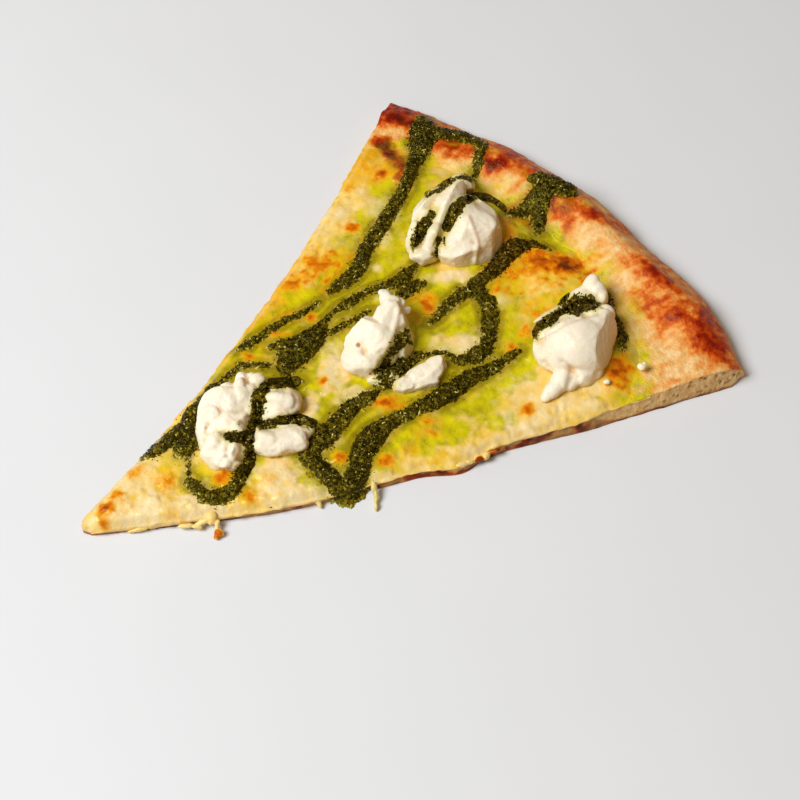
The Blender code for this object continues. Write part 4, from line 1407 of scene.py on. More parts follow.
@dataclass
class DoughBase:
    """The baked base with its puffed rim and its open crumb at the two cuts. Lengths in mm."""

    columns: int = 210
    rows: int = 330
    rings: int = 12
    fine_from: float = 36.0  # the rim's finer rows start this far inside its edge
    coarse_share: float = 0.60
    flank_share: float = 0.12
    heel_share: float = 0.28  # share of the flank that rolls under
    blister: float = 0.55
    bubble: float = 3.4
    bubble_high: float = 0.40
    pore: float = 0.55
    wide_pore: float = 2.6
    fine_pore: float = 1.4
    ragged: Swells = Swells(5.0, 61, 3, 0.45)
    waves: Swells = Swells(13.0, 5, 2, 0.9)
    wrinkles: Swells = Swells(3.2, 8, 3, 0.42)
    fine_wrinkles: Swells = Swells(1.2, 12, 2, 0.16)
    bubbled: Swells = Swells(9.0, 16, 1, 2.0)
    open_parts: Swells = Swells(8.0, 33)
    torn: Swells = Swells(3.0, 35, 3, 0.25)
    sole_edge: Swells = Swells(5.0, 41, 3)
    singed_edge: Swells = Swells(4.0, 43, 3)
    char: Swells = Swells(2.0, 44, 2, 0.5)
    foot_spread: float = 1.1  # how far the foot of the right cut leans out, and more by the rim

    def profile(self, along: np.ndarray, across: np.ndarray) -> tuple[np.ndarray, np.ndarray]:
        """How far inside the edge a row lies, and its height, from the tip to the rim's foot."""
        reach = PLAN.rim_radius(across) - PLAN.tip_at(across)
        start = 1 - self.flank_share
        coarse = self.fine_from + (reach - self.fine_from) * (1 - along / self.coarse_share)
        share = np.clip((along - self.coarse_share) / (start - self.coarse_share), 0, 1)
        fine = self.fine_from + (PLAN.rim_rounding - self.fine_from) * share
        inside = np.where(along < self.coarse_share, coarse, fine)
        top = PLAN.dough_height(across, inside)
        turn = np.clip((along - start) / self.flank_share, 0, 1)
        heel_from = 1 - self.heel_share
        above = np.clip(turn / heel_from, 0, 1) * math.pi / 2
        below = np.clip((turn - heel_from) / self.heel_share, 0, 1) * math.pi / 2
        flank_in = PLAN.rim_rounding * (1 - np.sin(above)) + PLAN.rim_foot_in * (1 - np.cos(below))
        crown = PLAN.dough_height(across, np.maximum(flank_in, 0))
        flank = PLAN.rim_side_low + (crown - PLAN.rim_side_low) * np.cos(above)
        flank = flank - PLAN.rim_side_low * np.sin(below)
        return np.where(along < start, inside, flank_in), np.where(along < start, top, flank)

    def places(
        self, across: np.ndarray, inside: np.ndarray, height: np.ndarray, along: np.ndarray, down: np.ndarray
    ) -> np.ndarray:
        """Where the vertices lie: the top, and the walls below it, ragged at the two cuts."""
        radius = PLAN.rim_radius(across) - inside
        x, y = PLAN.place(across, radius)
        foot = np.where(along > 1 - self.flank_share, np.maximum(inside, PLAN.rim_foot_in), inside)
        foot_x, foot_y = PLAN.place(across, PLAN.rim_radius(across) - foot)
        ragged = self.ragged.at(flat(radius, across * 4)) * PLAN.by_cuts(across, radius)
        x = x * (1 - down) + foot_x * down + ragged
        y = y * (1 - down) + foot_y * down
        lean = self.foot_spread * down * (across > AT_CUT) * eased((radius - 90) / 20)
        lean = lean * (1 + eased((radius - 165) / 35))
        return np.stack([x + 0.92 * lean, y - 0.38 * lean, height * (1 - down)], axis=1)

    def build(self) -> Object:
        """Makes the piece."""
        mesh = ring_sheet(self.columns, self.rows, self.rings)
        shares = vertices_of(mesh)
        across = 2 * shares[:, 0] - 1
        along = shares[:, 1]
        down = -shares[:, 2]
        inside, height = self.profile(along, across)
        points = self.places(across, inside, height, along, down)
        x, y, z = points.T
        place_vertices(mesh, points)
        normals = normals_of(mesh)
        wall = eased(down * self.rings * 0.8) * (np.abs(across) > AT_CUT)
        wall = np.maximum(wall, (along < 1e-4) * eased(down * self.rings))
        rim = eased((PLAN.cheese_edge_at(across) + 2 - inside) / 10)
        look = TopLook(x, y, across, inside)
        points = points + normals * (self.rim_relief(points, look) * rim * (1 - wall))[:, None]
        pores, hole = self.crumb(points)
        points = points + normals * (wall * (1 - down) * pores)[:, None]
        points[:, 2] = np.where(z > 0.01, np.maximum(points[:, 2], 0.0), 0.0)
        place_vertices(mesh, points)
        paint(mesh, self.masks(points, look, across, inside, along, down, wall, hole))
        tidy_mesh(mesh, 0.004)
        return finished_piece(
            "baked_base", mesh, Finish.DOUGH.material(), ("dough",), sharp_deg=62
        )

    def rim_relief(self, points: np.ndarray, look: TopLook) -> np.ndarray:
        """How far the rim's skin stands out: broad waves, blisters and fine wrinkles."""
        small = self.wrinkles.at(points) + self.fine_wrinkles.at(points)
        bubbles, _ = grains(points, self.bubble, 15)
        bumps = self.bubble_high * eased(1.1 - bubbles) * eased(self.bubbled.at(points))
        return self.waves.at(points) + small + self.blister * look.dark + bumps

    def crumb(self, points: np.ndarray) -> tuple[np.ndarray, np.ndarray]:
        """The cut's open crumb: how far it stands out, and where its pores are."""
        near, _ = grains(points * np.array((1.0, 1.0, 1.5)), self.wide_pore, 31)
        tiny, _ = grains(points * np.array((1.0, 1.0, 1.3)), self.fine_pore, 37)
        hole = eased((0.34 - near) / 0.16) + 0.6 * eased((0.26 - tiny) / 0.12)
        hole = np.clip(hole * (0.2 + 0.9 * eased(self.open_parts.at(points) + 0.4)), 0, 1)
        return self.torn.at(points) - self.pore * hole, hole

    def masks(
        self, points: np.ndarray, look: TopLook, across: np.ndarray, inside: np.ndarray, along: np.ndarray,
        down: np.ndarray, wall: np.ndarray, hole: np.ndarray,
    ) -> dict[str, np.ndarray]:
        """What the finish reads at each vertex."""
        thin_part = eased((200 - PLAN.rim_radius(across) + inside) / 40)
        radius = PLAN.rim_radius(across) - inside
        caught = eased((radius - 55) / 10) * eased((192 - radius) / 14) * (across > 0)
        amount = 0.22 + 0.42 * thin_part + 0.60 * caught
        amount = amount + (0.2 + 0.3 * caught) * self.sole_edge.at(points)
        sole = wall * eased((amount - (1 - down)) / 0.16)
        sole = np.where(down > AT_CUT, 1.0, sole * (0.55 + 0.45 * eased((0.45 - (1 - down)) / 0.3)))
        under = eased((2.6 - points[:, 2]) / 1.8) * (along > 1 - self.flank_share)
        masks = look.masks(1 - wall)
        singed = eased(0.8 + self.singed_edge.at(points) - 0.3 * (1 - down))
        singed = wall * caught * (down < AT_CUT) * singed
        scorched = singed * (0.86 + self.char.at(points))
        masks["bake"] = masks["bake"] * (1 - singed) + 0.2 * under + scorched
        masks["melt"] = masks["melt"] * (1 - singed)
        # pore marks where painted shade darkens the crumb's pores
        return {
            **masks, "cut": wall * (1 - singed), "pore": hole * wall,
            "sole": np.maximum(sole * (1 - 0.8 * singed), 0.6 * under * (points[:, 2] < 1.2)),
        }


# the melted cheese


@dataclass
class CheeseLayer:
    """The melted cheese, its edge feathered on to the rim and draped over the cuts. In mm."""

    columns: int = 250
    rows: int = 330
    rings: int = 5
    buried: float = 1.0
    tucked: float = 1.8  # how far the underside lies inside the dough's edge
    underside: float = 0.6
    overhang: float = 0.5
    film: float = 7.0  # how far its film reaches on to the rim
    rounding: float = 1.7
    rounding_reach: float = 3.6
    longest_drop: float = 2.6
    lowest: float = 0.25
    bubble: float = 4.4
    bubble_high: float = 0.5
    lumps: Swells = Swells(8.0, 51, 2, 0.75)
    small_lumps: Swells = Swells(3.6, 53, 2, 0.35)
    fine: Swells = Swells(1.9, 55, 1, 0.14)
    blistered: Swells = Swells(1.6, 57, 2, 0.6)
    wavy_cut: Swells = Swells(6.0, 77, 3, 0.5)
    torn_cut: Swells = Swells(2.2, 80, 2, 0.45)
    bulges: Swells = Swells(2.6, 74, 2, 0.7)
    burnt_foot: Swells = Swells(4.0, 86, 2)
    side_waves: Swells = Swells(5.0, 78, 2, 0.8)
    drops: Swells = Swells(8.0, 79, 3)

    def relief(self, points: np.ndarray, look: TopLook) -> np.ndarray:
        """How far the cheese stands above its even surface."""
        lumps = self.lumps.at(points) + self.small_lumps.at(points)
        bubbles, own = grains(points, self.bubble, 54)
        fine = self.fine.at(points) + self.bubble_high * eased(1 - bubbles / 0.42) * (own > 0.5)
        blister = look.toast_and_shade * (0.45 + self.blistered.at(points)) + 1.0 * look.dark
        bed = -0.25 * np.exp(-np.maximum(look.gap, 0) / 2.0)
        return lumps + fine + blister + 0.35 * look.milk + bed

    def build(self) -> Object:
        """Makes the piece."""
        mesh = ring_sheet(self.columns, self.rows, self.rings + 1)
        shares = vertices_of(mesh)
        across = 2 * shares[:, 0] - 1
        along = shares[:, 1]
        down = np.clip(-shares[:, 2] * (self.rings + 1) / self.rings, 0, 1)
        under = -shares[:, 2] > AT_CUT
        edge = PLAN.cheese_edge_at(across) - self.film
        inside = edge + (PLAN.rim_radius(across) - PLAN.tip_at(across) - edge) * (1 - along)
        radius = PLAN.rim_radius(across) - inside
        radius = radius + under * self.tucked * (1 - 2 * along)
        across = across * (1 - under * self.tucked / (radius * PLAN.wedge / 2))
        x, y = PLAN.place(across, radius)
        look = TopLook(x, y, across, inside)
        top = self.top(flat(x, y), look, across, radius, inside)
        low = self.lower_edge(across, radius, inside)
        wobble = self.wavy_cut.at(flat(radius, across * 4))
        wobble = wobble + self.torn_cut.at(flat(radius, across * 9 + down))
        wobble = wobble * PLAN.by_cuts(across, radius)
        bulge = np.sin(math.pi * np.clip(down, 0, 1)) * (1 + self.bulges.at(flat(radius, down * 6)))
        out = np.sign(across) * (np.abs(across) > AT_CUT) * self.overhang * bulge * ~under
        z = np.where(under, self.underside, top * (1 - down) + low * down)
        half = PLAN.wedge / 2
        points = np.stack([x + wobble + out * math.cos(half), y - np.abs(out) * math.sin(half), z], axis=1)
        place_vertices(mesh, points)
        wall = eased(down / 0.15)
        burnt_foot = eased((down - 0.45) / 0.4) * eased(self.burnt_foot.at(points) + 0.4) * 0.75 * wall
        masks = look.masks(1 - 0.6 * wall)
        masks["toast_and_shade"] = np.maximum(masks["toast_and_shade"], burnt_foot)
        paint(mesh, {**masks, "cut": 0.5 * wall * (1 - look.dark)})
        tidy_mesh(mesh, 0.004)
        return finished_piece(
            "melted_cheese_layer", mesh, Finish.CHEESE.material(), ("melted_cheese",),
            sharp_deg=75,
        )

    def top(
        self, here: np.ndarray, look: TopLook, across: np.ndarray, radius: np.ndarray, inside: np.ndarray
    ) -> np.ndarray:
        """Height of the cheese's top, rounded towards the cuts and thin at the rim and the tip."""
        taper = eased(look.thick)
        full = PLAN.cheese - 1.5 * np.abs(across) ** 3
        thick = -self.buried + (full + self.buried) * taper
        side = (1 - np.abs(across)) * radius * PLAN.wedge / 2
        side = side + self.side_waves.at(flat(radius, across * 3))
        rounding = self.rounding * (1 - eased(side / self.rounding_reach)) ** 1.4
        lip = eased((radius - PLAN.tip_radius) / 3.0)
        bed = PLAN.dough_height(across, inside) + 0.3
        return bed + thick * (0.45 + 0.55 * lip) + self.relief(here, look) * taper - rounding * taper

    def lower_edge(self, across: np.ndarray, radius: np.ndarray, inside: np.ndarray) -> np.ndarray:
        """How low the cheese hangs over the cuts, lowest on the right near the tip."""
        hang = self.drops.at(flat(radius, across * 3))
        droop = 0.2 + 0.8 * hang + eased((64 - radius) / 16) * (1.2 + 1.2 * hang) * (across > 0)
        low = PLAN.dough_height(across, inside) + 0.1 - np.clip(droop, 0, self.longest_drop)
        return np.maximum(low, self.lowest)


# the ricotta


@dataclass(frozen=True)
class Lump:
    """One lump of a spoonful, placed where it shows: u, v in the picture and height z.

    wide, tall and deep are its half sizes in mm to the right, up and towards the eye, and
    turn_deg turns it in the picture.
    """

    u: float
    v: float
    z: float
    wide: float
    tall: float
    deep: float
    turn_deg: float = 0.0

    def matrix(self) -> Matrix:
        """Takes a ball of radius 1 to the lump, in mm in the slice's plan."""
        right, up, back = EYE.axes()
        right, up = turned(right, up, self.turn_deg)
        middle = EYE.at_height(self.u, self.v, self.z)
        return matrix_of(right * self.wide, up * self.tall, back * self.deep, middle)


@dataclass(frozen=True)
class Crease:
    """A groove, or a ridge where depth is negative, along places in the picture."""

    places: tuple
    width: float
    depth: float


@dataclass(frozen=True)
class SpoonCut:
    """A flat left by the spoon, through the place at (u, v) and height z."""

    u: float
    v: float
    z: float
    facing: tuple[float, float, float]  # right, up, towards the eye
    reach: float = 9.0


@dataclass
class Spoonful:
    """A spoonful of ricotta: faceted lumps run together, flattened, creased and torn. In mm."""

    name: str
    node: str | None
    lumps: tuple
    cuts: tuple = ()
    creases: tuple = ()
    singes: tuple = ()
    curds: tuple = ()  # rows of place in the picture, half spread, height, count and size in mm
    voxel: float = 0.42
    softness: int = 2
    rough: float = 0.24
    grain: float = 3.6
    ridge: float = 2.4
    warp: float = 1.2
    warp_size: float = 4.0
    curd: float = 0.20
    curd_size: float = 6.0
    facets: int = 16
    facet_at: float = 0.84  # how far out a facet lies, in half sizes
    sunk: float = 0.7  # how far it sinks into what it lies on
    lowest: float = 0.05
    stain: float = 0.65
    stain_reach: float = 3.0  # in the picture
    foot_reach: float = 1.1
    seed: int = 1

    def build(self, around: Surroundings, stains: list[np.ndarray]) -> Object:
        """Makes the piece on what is already there.

        Args:
            around: What it lies on.
            stains: Where pesto crosses it, as routes in the picture.

        Returns:
            The piece.
        """
        shape = bmesh.new()
        rng = np.random.default_rng(self.seed)
        for lump in (*self.lumps, *self.crumbled(rng)):
            made = bmesh.ops.create_icosphere(shape, subdivisions=4, radius=1.03)["verts"]
            for way in rng.normal(size=(self.facets, 3)):
                out = Vector(way).normalized()
                for vertex in made:
                    vertex.co -= out * max(vertex.co.dot(out) - self.facet_at, 0.0)
            bmesh.ops.transform(shape, matrix=lump.matrix(), verts=made)
        mesh = skinned(mesh_from(shape, "lumps"), self.voxel, self.softness)
        points = self.flattened(vertices_of(mesh))
        place_vertices(mesh, points)
        normals = normals_of(mesh)
        points = points + normals * self.relief(points, normals)[:, None]
        points[:, 2] = np.maximum(points[:, 2], np.maximum(around.heights(points) - self.sunk, self.lowest))
        place_vertices(mesh, points)
        tidy_mesh(mesh, 0.02)
        paint(mesh, self.masks(mesh, around, stains))
        replaces = (self.node,) if self.node else ()
        return finished_piece(self.name, mesh, Finish.RICOTTA.material(), replaces)

    def relief(self, points: np.ndarray, normals: np.ndarray) -> np.ndarray:
        """How far the skin stands out: its grain and curds, less the creases that face the eye."""
        bumps = self.rough * swells(points, self.grain, self.seed, 3)
        bumps = bumps + 0.5 * self.rough * (0.5 - 2 * np.abs(swells(points, self.ridge, self.seed + 9, 2)))
        warped = points + self.warp * swells(points, self.warp_size, self.seed + 4, 2)[:, None]
        for size, share in ((self.curd_size, 1.0), (0.4 * self.curd_size, 0.4)):
            bumps = bumps + self.curd * share * (0.5 - grains(warped, size, self.seed + 5)[0])
        facing = eased((normals @ EYE.axes()[2] - 0.05) / 0.4)
        seen = EYE.seen(points)
        groove = np.zeros(len(points))
        for crease in self.creases:
            route = smooth_route(tuple((u, v, 0.0) for u, v in crease.places), 3.0)
            gap, _ = reach_of_routes(seen[:, 0], seen[:, 1], [route])
            groove += crease.depth * (np.exp(-((gap / crease.width) ** 2)) * facing)
        return bumps - groove

    def masks(self, mesh: Mesh, around: Surroundings, stains: list[np.ndarray]) -> dict[str, np.ndarray]:
        """What the finish reads: where pesto and heat have tinted it, and its painted shade."""
        points = vertices_of(mesh)
        seen = EYE.seen(points)
        gap, _ = reach_of_routes(seen[:, 0], seen[:, 1], stains)
        beside = self.stain * np.exp(-np.maximum(gap, 0) / self.stain_reach)
        foot = np.exp(-np.maximum(points[:, 2] - around.heights(points), 0) / self.foot_reach)
        # painted shade: a warm tan in hollows and on sides turned from the light
        painted_shade = 0.8 * eased(hollows_of(mesh, 14) / 0.5)
        away = 0.9 * eased((0.55 - normals_of(mesh) @ light_way()) / 0.9)
        return {
            "stain": np.maximum(beside, 0.6 * foot), "painted_shade": np.maximum(painted_shade, away),
            "singe": dabs(seen, self.singes),
        }

    def crumbled(self, rng: np.random.Generator) -> list[Lump]:
        """Small curds strewn over the lumps, lower towards the edge of each spread."""
        made = []
        for u, v, wide, tall, z, count, size in self.curds:
            for _ in range(count):
                turn, out = rng.uniform(0, math.tau), math.sqrt(rng.random())
                sizes = size * rng.uniform(0.6, 1.2, 3)
                at_u, at_v = u + wide * out * math.cos(turn), v + tall * out * math.sin(turn)
                made.append(Lump(at_u, at_v, z - 2.2 * out**2, *sizes, float(rng.uniform(-40, 40))))
        return made

    def flattened(self, points: np.ndarray) -> np.ndarray:
        """The places with all that lies beyond a spoon cut pressed back to it."""
        right, up, back = EYE.axes()
        for cut in self.cuts:
            way = cut.facing[0] * right + cut.facing[1] * up + cut.facing[2] * back
            way /= np.linalg.norm(way)
            away = points - EYE.at_height(cut.u, cut.v, cut.z)
            beyond = away @ way
            aside = np.linalg.norm(away - np.outer(beyond, way), axis=1)
            pressed = 0.85 * np.maximum(beyond, 0) * eased(1.5 - aside / cut.reach)
            points = points - np.outer(pressed, way)
        return points


RIM_SPOONFUL = Spoonful(
    "ricotta_by_rim",
    "ricotta_rim",
    lumps=(
        Lump(471, 231, 13.5, 13, 13.4, 10.5), Lump(458, 247, 11.5, 10.5, 8.4, 8.5),
        Lump(436, 232, 11, 9, 9.5, 7.5, 20), Lump(444, 212, 16, 14.5, 4.8, 8, 61),
        Lump(432, 240, 13, 7, 4.4, 6.5, 70), Lump(426, 206, 14.5, 9, 2.8, 7, 50),
        Lump(414, 238, 12, 6.5, 3.2, 6, 82), Lump(463, 185, 16, 5.4, 3.8, 6, -18),
        Lump(424, 256, 10.5, 5.4, 3.6, 4.5),
    ),
    cuts=(
        SpoonCut(498, 240, 14, (0.86, -0.25, 0.45)), SpoonCut(486, 203, 18, (0.35, 0.72, 0.6)),
        SpoonCut(452, 240, 18.6, (-0.3, -0.15, 0.94)), SpoonCut(470, 262, 11, (0.1, -0.85, 0.5)),
    ),
    creases=(
        Crease(((436, 208), (429, 218), (424, 226), (418, 238), (414, 248)), 4.5, 1.5),
        Crease(((480, 197), (470, 198), (460, 204), (454, 214), (448, 226), (440, 240), (436, 254)), 4, 1.7),
        Crease(((468, 218), (477, 242), (474, 266)), 2.6, -0.6),
    ),
    seed=101,
)

MIDDLE_SPOONFUL = Spoonful(
    "ricotta_in_middle",
    "ricotta_middle",
    lumps=(
        Lump(372, 344, 10.5, 10, 10.6, 8), Lump(366, 360, 8.5, 8.6, 8, 7),
        Lump(387, 326, 13, 7.2, 9.6, 7, -24), Lump(391, 312, 14.5, 4.6, 6, 5, -10),
        Lump(387, 298, 16, 2.8, 3.4, 3, 20), Lump(399, 304, 15, 2.6, 2.4, 2.8),
        Lump(382, 293, 16, 1.5, 1.8, 1.6), Lump(406, 310, 13.5, 1.9, 1.6, 2),
        Lump(401, 338, 9.5, 5, 8.4, 6, 14), Lump(384, 380, 6.5, 6, 3.6, 4),
    ),
    cuts=(
        SpoonCut(406, 342, 12, (0.82, -0.1, 0.55)), SpoonCut(366, 334, 17.5, (-0.45, 0.25, 0.86)),
        SpoonCut(362, 372, 11.5, (-0.35, -0.75, 0.55)),
    ),
    creases=(
        Crease(((361, 344), (364, 350)), 5, 1.3), Crease(((357, 360), (362, 364)), 4, 0.6),
        Crease(((378, 374), (388, 379)), 6, 1.6),
        Crease(((398, 310), (393, 332), (382, 356), (376, 368)), 3, -0.6),
    ),
    singes=((358, 345, 2.4, 0.9),),
    seed=111,
)

LOBE = Spoonful(
    "ricotta_small_lobe",
    "ricotta_lobe",
    lumps=(
        Lump(420, 378, 7.4, 9.4, 4.2, 4.4, 29), Lump(405, 386, 7, 5, 3.4, 3.6, 10),
        Lump(434, 367, 8.2, 5.4, 3.4, 3.8, 36), Lump(424, 384, 6.6, 6, 3, 3.2, 20),
    ),
    cuts=(
        SpoonCut(420, 372, 10.6, (-0.1, 0.55, 0.83)), SpoonCut(430, 384, 8.4, (0.3, -0.75, 0.6)),
    ),
    creases=(Crease(((408, 376), (417, 378), (424, 374)), 3, 0.5),),
    rough=0.35,
    seed=121,
)

CUT_SIDE_SPOONFUL = Spoonful(
    "ricotta_by_cut",
    "ricotta_cut_side",
    lumps=(
        Lump(576, 346, 14, 13, 11.4, 10), Lump(596, 330, 15.5, 8.4, 8, 7.5),
        Lump(606, 314, 16.5, 3.2, 3.4, 4, 20), Lump(556, 348, 12, 8, 8.4, 8),
        Lump(591, 286, 16.6, 3, 4.4, 3.2, -18), Lump(597, 291, 16.2, 3.4, 3.6, 3.4, 24),
        Lump(581, 291, 15.5, 4.6, 1.6, 3, 24), Lump(584, 302, 14.5, 6.5, 4, 4, 12),
        Lump(602, 298, 15.5, 2.2, 3.6, 3), Lump(553, 313, 13.5, 7.8, 1.5, 4.5, 27),
        Lump(561, 380, 9.8, 5.6, 3.6, 4.2, 58), Lump(554, 389, 8.8, 5.2, 3, 3.4, 44),
        Lump(548, 395, 8.2, 3.4, 2, 2.4, 52), Lump(571, 384, 8.8, 3.2, 2.4, 2.8, 30),
        Lump(581, 374, 9.4, 6, 4.6, 5), Lump(595, 372, 9, 3, 3, 3.4),
    ),
    cuts=(
        SpoonCut(606, 342, 16.6, (0.84, -0.06, 0.54), 12), SpoonCut(568, 340, 23, (-0.25, 0.05, 0.96), 11),
        SpoonCut(543, 352, 16, (-0.8, 0.05, 0.55)),
    ),
    creases=(
        Crease(((598, 309), (582, 312), (566, 318), (552, 325), (542, 332), (537, 342)), 5.5, 2.2),
        Crease(((544, 363), (547, 368)), 4, 0.8), Crease(((562, 362), (570, 368), (578, 377)), 3, 0.9),
    ),
    curds=((566, 379, 9, 6, 11.4, 5, 1.6), (551, 391, 5, 5, 9.6, 4, 1.3)),
    rough=0.2,
    curd=0.12,
    facets=6,
    facet_at=0.93,
    softness=12,
    seed=133,
)

TIP_SPOONFUL = Spoonful(
    "ricotta_near_tip",
    "ricotta_tip",
    lumps=(
        Lump(256, 422, 6.5, 15, 12.5, 5), Lump(224, 417, 8.2, 9.2, 11, 5.2),
        Lump(241, 407, 9.2, 4.4, 8.4, 4.8), Lump(211, 432, 8.2, 5.6, 9, 4.2),
        Lump(233, 430, 8.8, 7.2, 7.4, 4.6), Lump(222, 452, 8.8, 8, 6.8, 4.6),
        Lump(236, 451, 8.8, 3.8, 5.2, 4.2), Lump(232, 464, 8.4, 3.8, 2.4, 3.2),
        Lump(242, 379, 10.2, 2.8, 2.7, 3), Lump(257, 382, 10.2, 4, 3.3, 3.6),
        Lump(241, 391, 11.2, 3.2, 4.8, 4), Lump(251, 394, 10.6, 3.2, 3.8, 3.6),
        Lump(230, 394, 9.8, 4.2, 4.2, 4.4), Lump(280, 402, 9, 7.8, 6, 5.8), Lump(291, 405, 8, 4, 5, 4.6),
        Lump(284, 441, 8, 9.6, 5.6, 5.4), Lump(301, 430, 8, 4.6, 4.2, 4.2),
        Lump(267, 438, 11, 4.4, 3.9, 3.2), Lump(270, 447, 8.8, 7.4, 3.4, 3.4),
        Lump(292, 445, 8.6, 6.4, 3.2, 3.2),
    ),
    cuts=(
        SpoonCut(282, 402, 14.2, (0.1, 0.1, 0.98)), SpoonCut(288, 442, 12.4, (0.25, -0.3, 0.92)),
        SpoonCut(246, 408, 14.4, (0.75, -0.1, 0.62), 6),
    ),
    creases=(
        Crease(
            ((284, 386), (268, 387), (260, 393), (258, 404), (257, 414), (255, 424), (249, 432), (246, 440)),
            4.5, 1.6,
        ),
        Crease(((246, 439), (237, 438), (229, 437)), 4, 0.8),
        Crease(((257, 424), (270, 424), (282, 421), (296, 420), (312, 425)), 4, 1.6),
        Crease(((208, 424), (206, 432)), 3, 0.8), Crease(((206, 441), (216, 442), (226, 441)), 3.4, 0.5),
    ),
    singes=((206, 428, 1.8, 0.5),),
    curds=(
        (224, 432, 20, 30, 12.4, 9, 3.6), (225, 456, 14, 9, 11.8, 7, 2.4), (248, 384, 13, 8, 10.6, 6, 2.4),
        (284, 441, 22, 9, 9.8, 5, 2.6),
    ),
    rough=0.26,
    curd=0.42,
    curd_size=5,
    facets=12,
    facet_at=0.88,
    softness=4,
    seed=141,
)

CRUMBS = Spoonful(
    "ricotta_crumbs",
    None,
    lumps=(
        Lump(642, 367, 10.4, 1.7, 1.5, 1.4), Lump(644, 365, 10.6, 1.2, 1.1, 1),
        Lump(607, 382, 9.4, 1.4, 1.1, 1), Lump(604, 303, 14, 1, 1, 1),
    ),
    voxel=0.25,
    rough=0.12,
    curd=0.1,
    seed=151,
)

SPOONFULS = (RIM_SPOONFUL, MIDDLE_SPOONFUL, LOBE, CUT_SIDE_SPOONFUL, TIP_SPOONFUL, CRUMBS)


@dataclass
class CheeseDrips:
    """Cheese that ran over the right cut and set: strands, a flap and a toasted nub. In mm."""

    lumps: tuple = (
        Lump(212, 518, 3.4, 1.7, 2.4, 1.3, -15), Lump(217, 526, 2.2, 0.8, 2.4, 0.9, -15),
        Lump(219, 533, 1.5, 1.8, 1.5, 1.3), Lump(216, 537, 1.2, 0.9, 0.9, 0.9),
        Lump(205, 521, 3, 4, 1, 1, 22), Lump(317, 498, 2.8, 1.1, 2.4, 1, 12),
        Lump(320, 504, 1.6, 0.8, 1.6, 0.8, 10), Lump(374, 488, 3.2, 1.1, 2.6, 1.1, 8),
        Lump(376, 497, 2, 0.8, 2.8, 0.8), Lump(376, 507, 1.2, 0.7, 1.6, 0.8),
        Lump(140, 529, 1.6, 4.6, 0.9, 1, 14), Lump(449, 466, 2.2, 2.8, 0.9, 1.4, 16),
        Lump(460, 465, 2.6, 3, 1, 1.6, 8), Lump(469, 462, 2.6, 2, 0.9, 1.3, 16),
        Lump(478, 459, 2.4, 2.2, 1.3, 1.5, 25), Lump(486, 456, 2.8, 1.8, 1.4, 1.4, 40),
        Lump(495, 451, 3, 2.4, 0.8, 1.2, 24), Lump(272, 507, 2.4, 3.4, 0.8, 1.2, 12),
        Lump(290, 504, 2.4, 3.4, 0.7, 1.2, 12), Lump(186, 526, 2, 3, 0.9, 1.2, 4),
        Lump(197, 527, 2, 2, 0.8, 1, -8),
    )
    toasted: tuple = (
        (218, 534, 5, 0.6), (213, 538, 3, 0.5), (446, 468, 6, 0.95), (480, 461, 5, 0.9), (496, 452, 6, 0.9),
        (272, 508, 9, 0.9), (290, 505, 9, 0.8),
    )
    oiled: tuple = ((376, 500, 14, 0.8), (318, 501, 8, 0.3))
    voxel: float = 0.28
    rough: float = 0.25
    grain: float = 1.6
    milk: float = 0.4

    def build(self) -> Object:
        """Makes the piece."""
        shape = bmesh.new()
        for lump in self.lumps:
            bmesh.ops.create_icosphere(shape, subdivisions=3, radius=1.0, matrix=lump.matrix())
        mesh = skinned(mesh_from(shape, "lumps"), self.voxel, 3)
        points = vertices_of(mesh)
        points = points + normals_of(mesh) * (self.rough * swells(points, self.grain, 161, 2))[:, None]
        points[:, 2] = np.maximum(points[:, 2], 0.05)
        place_vertices(mesh, points)
        tidy_mesh(mesh, 0.02)
        seen = EYE.seen(vertices_of(mesh))
        paint(mesh, {
            "melt": np.ones(len(seen)), "milk": np.full(len(seen), self.milk),
            "toast_and_shade": dabs(seen, self.toasted), "oil": dabs(seen, self.oiled),
        })
        return finished_piece("cheese_drips", mesh, Finish.CHEESE.material())


# the pesto


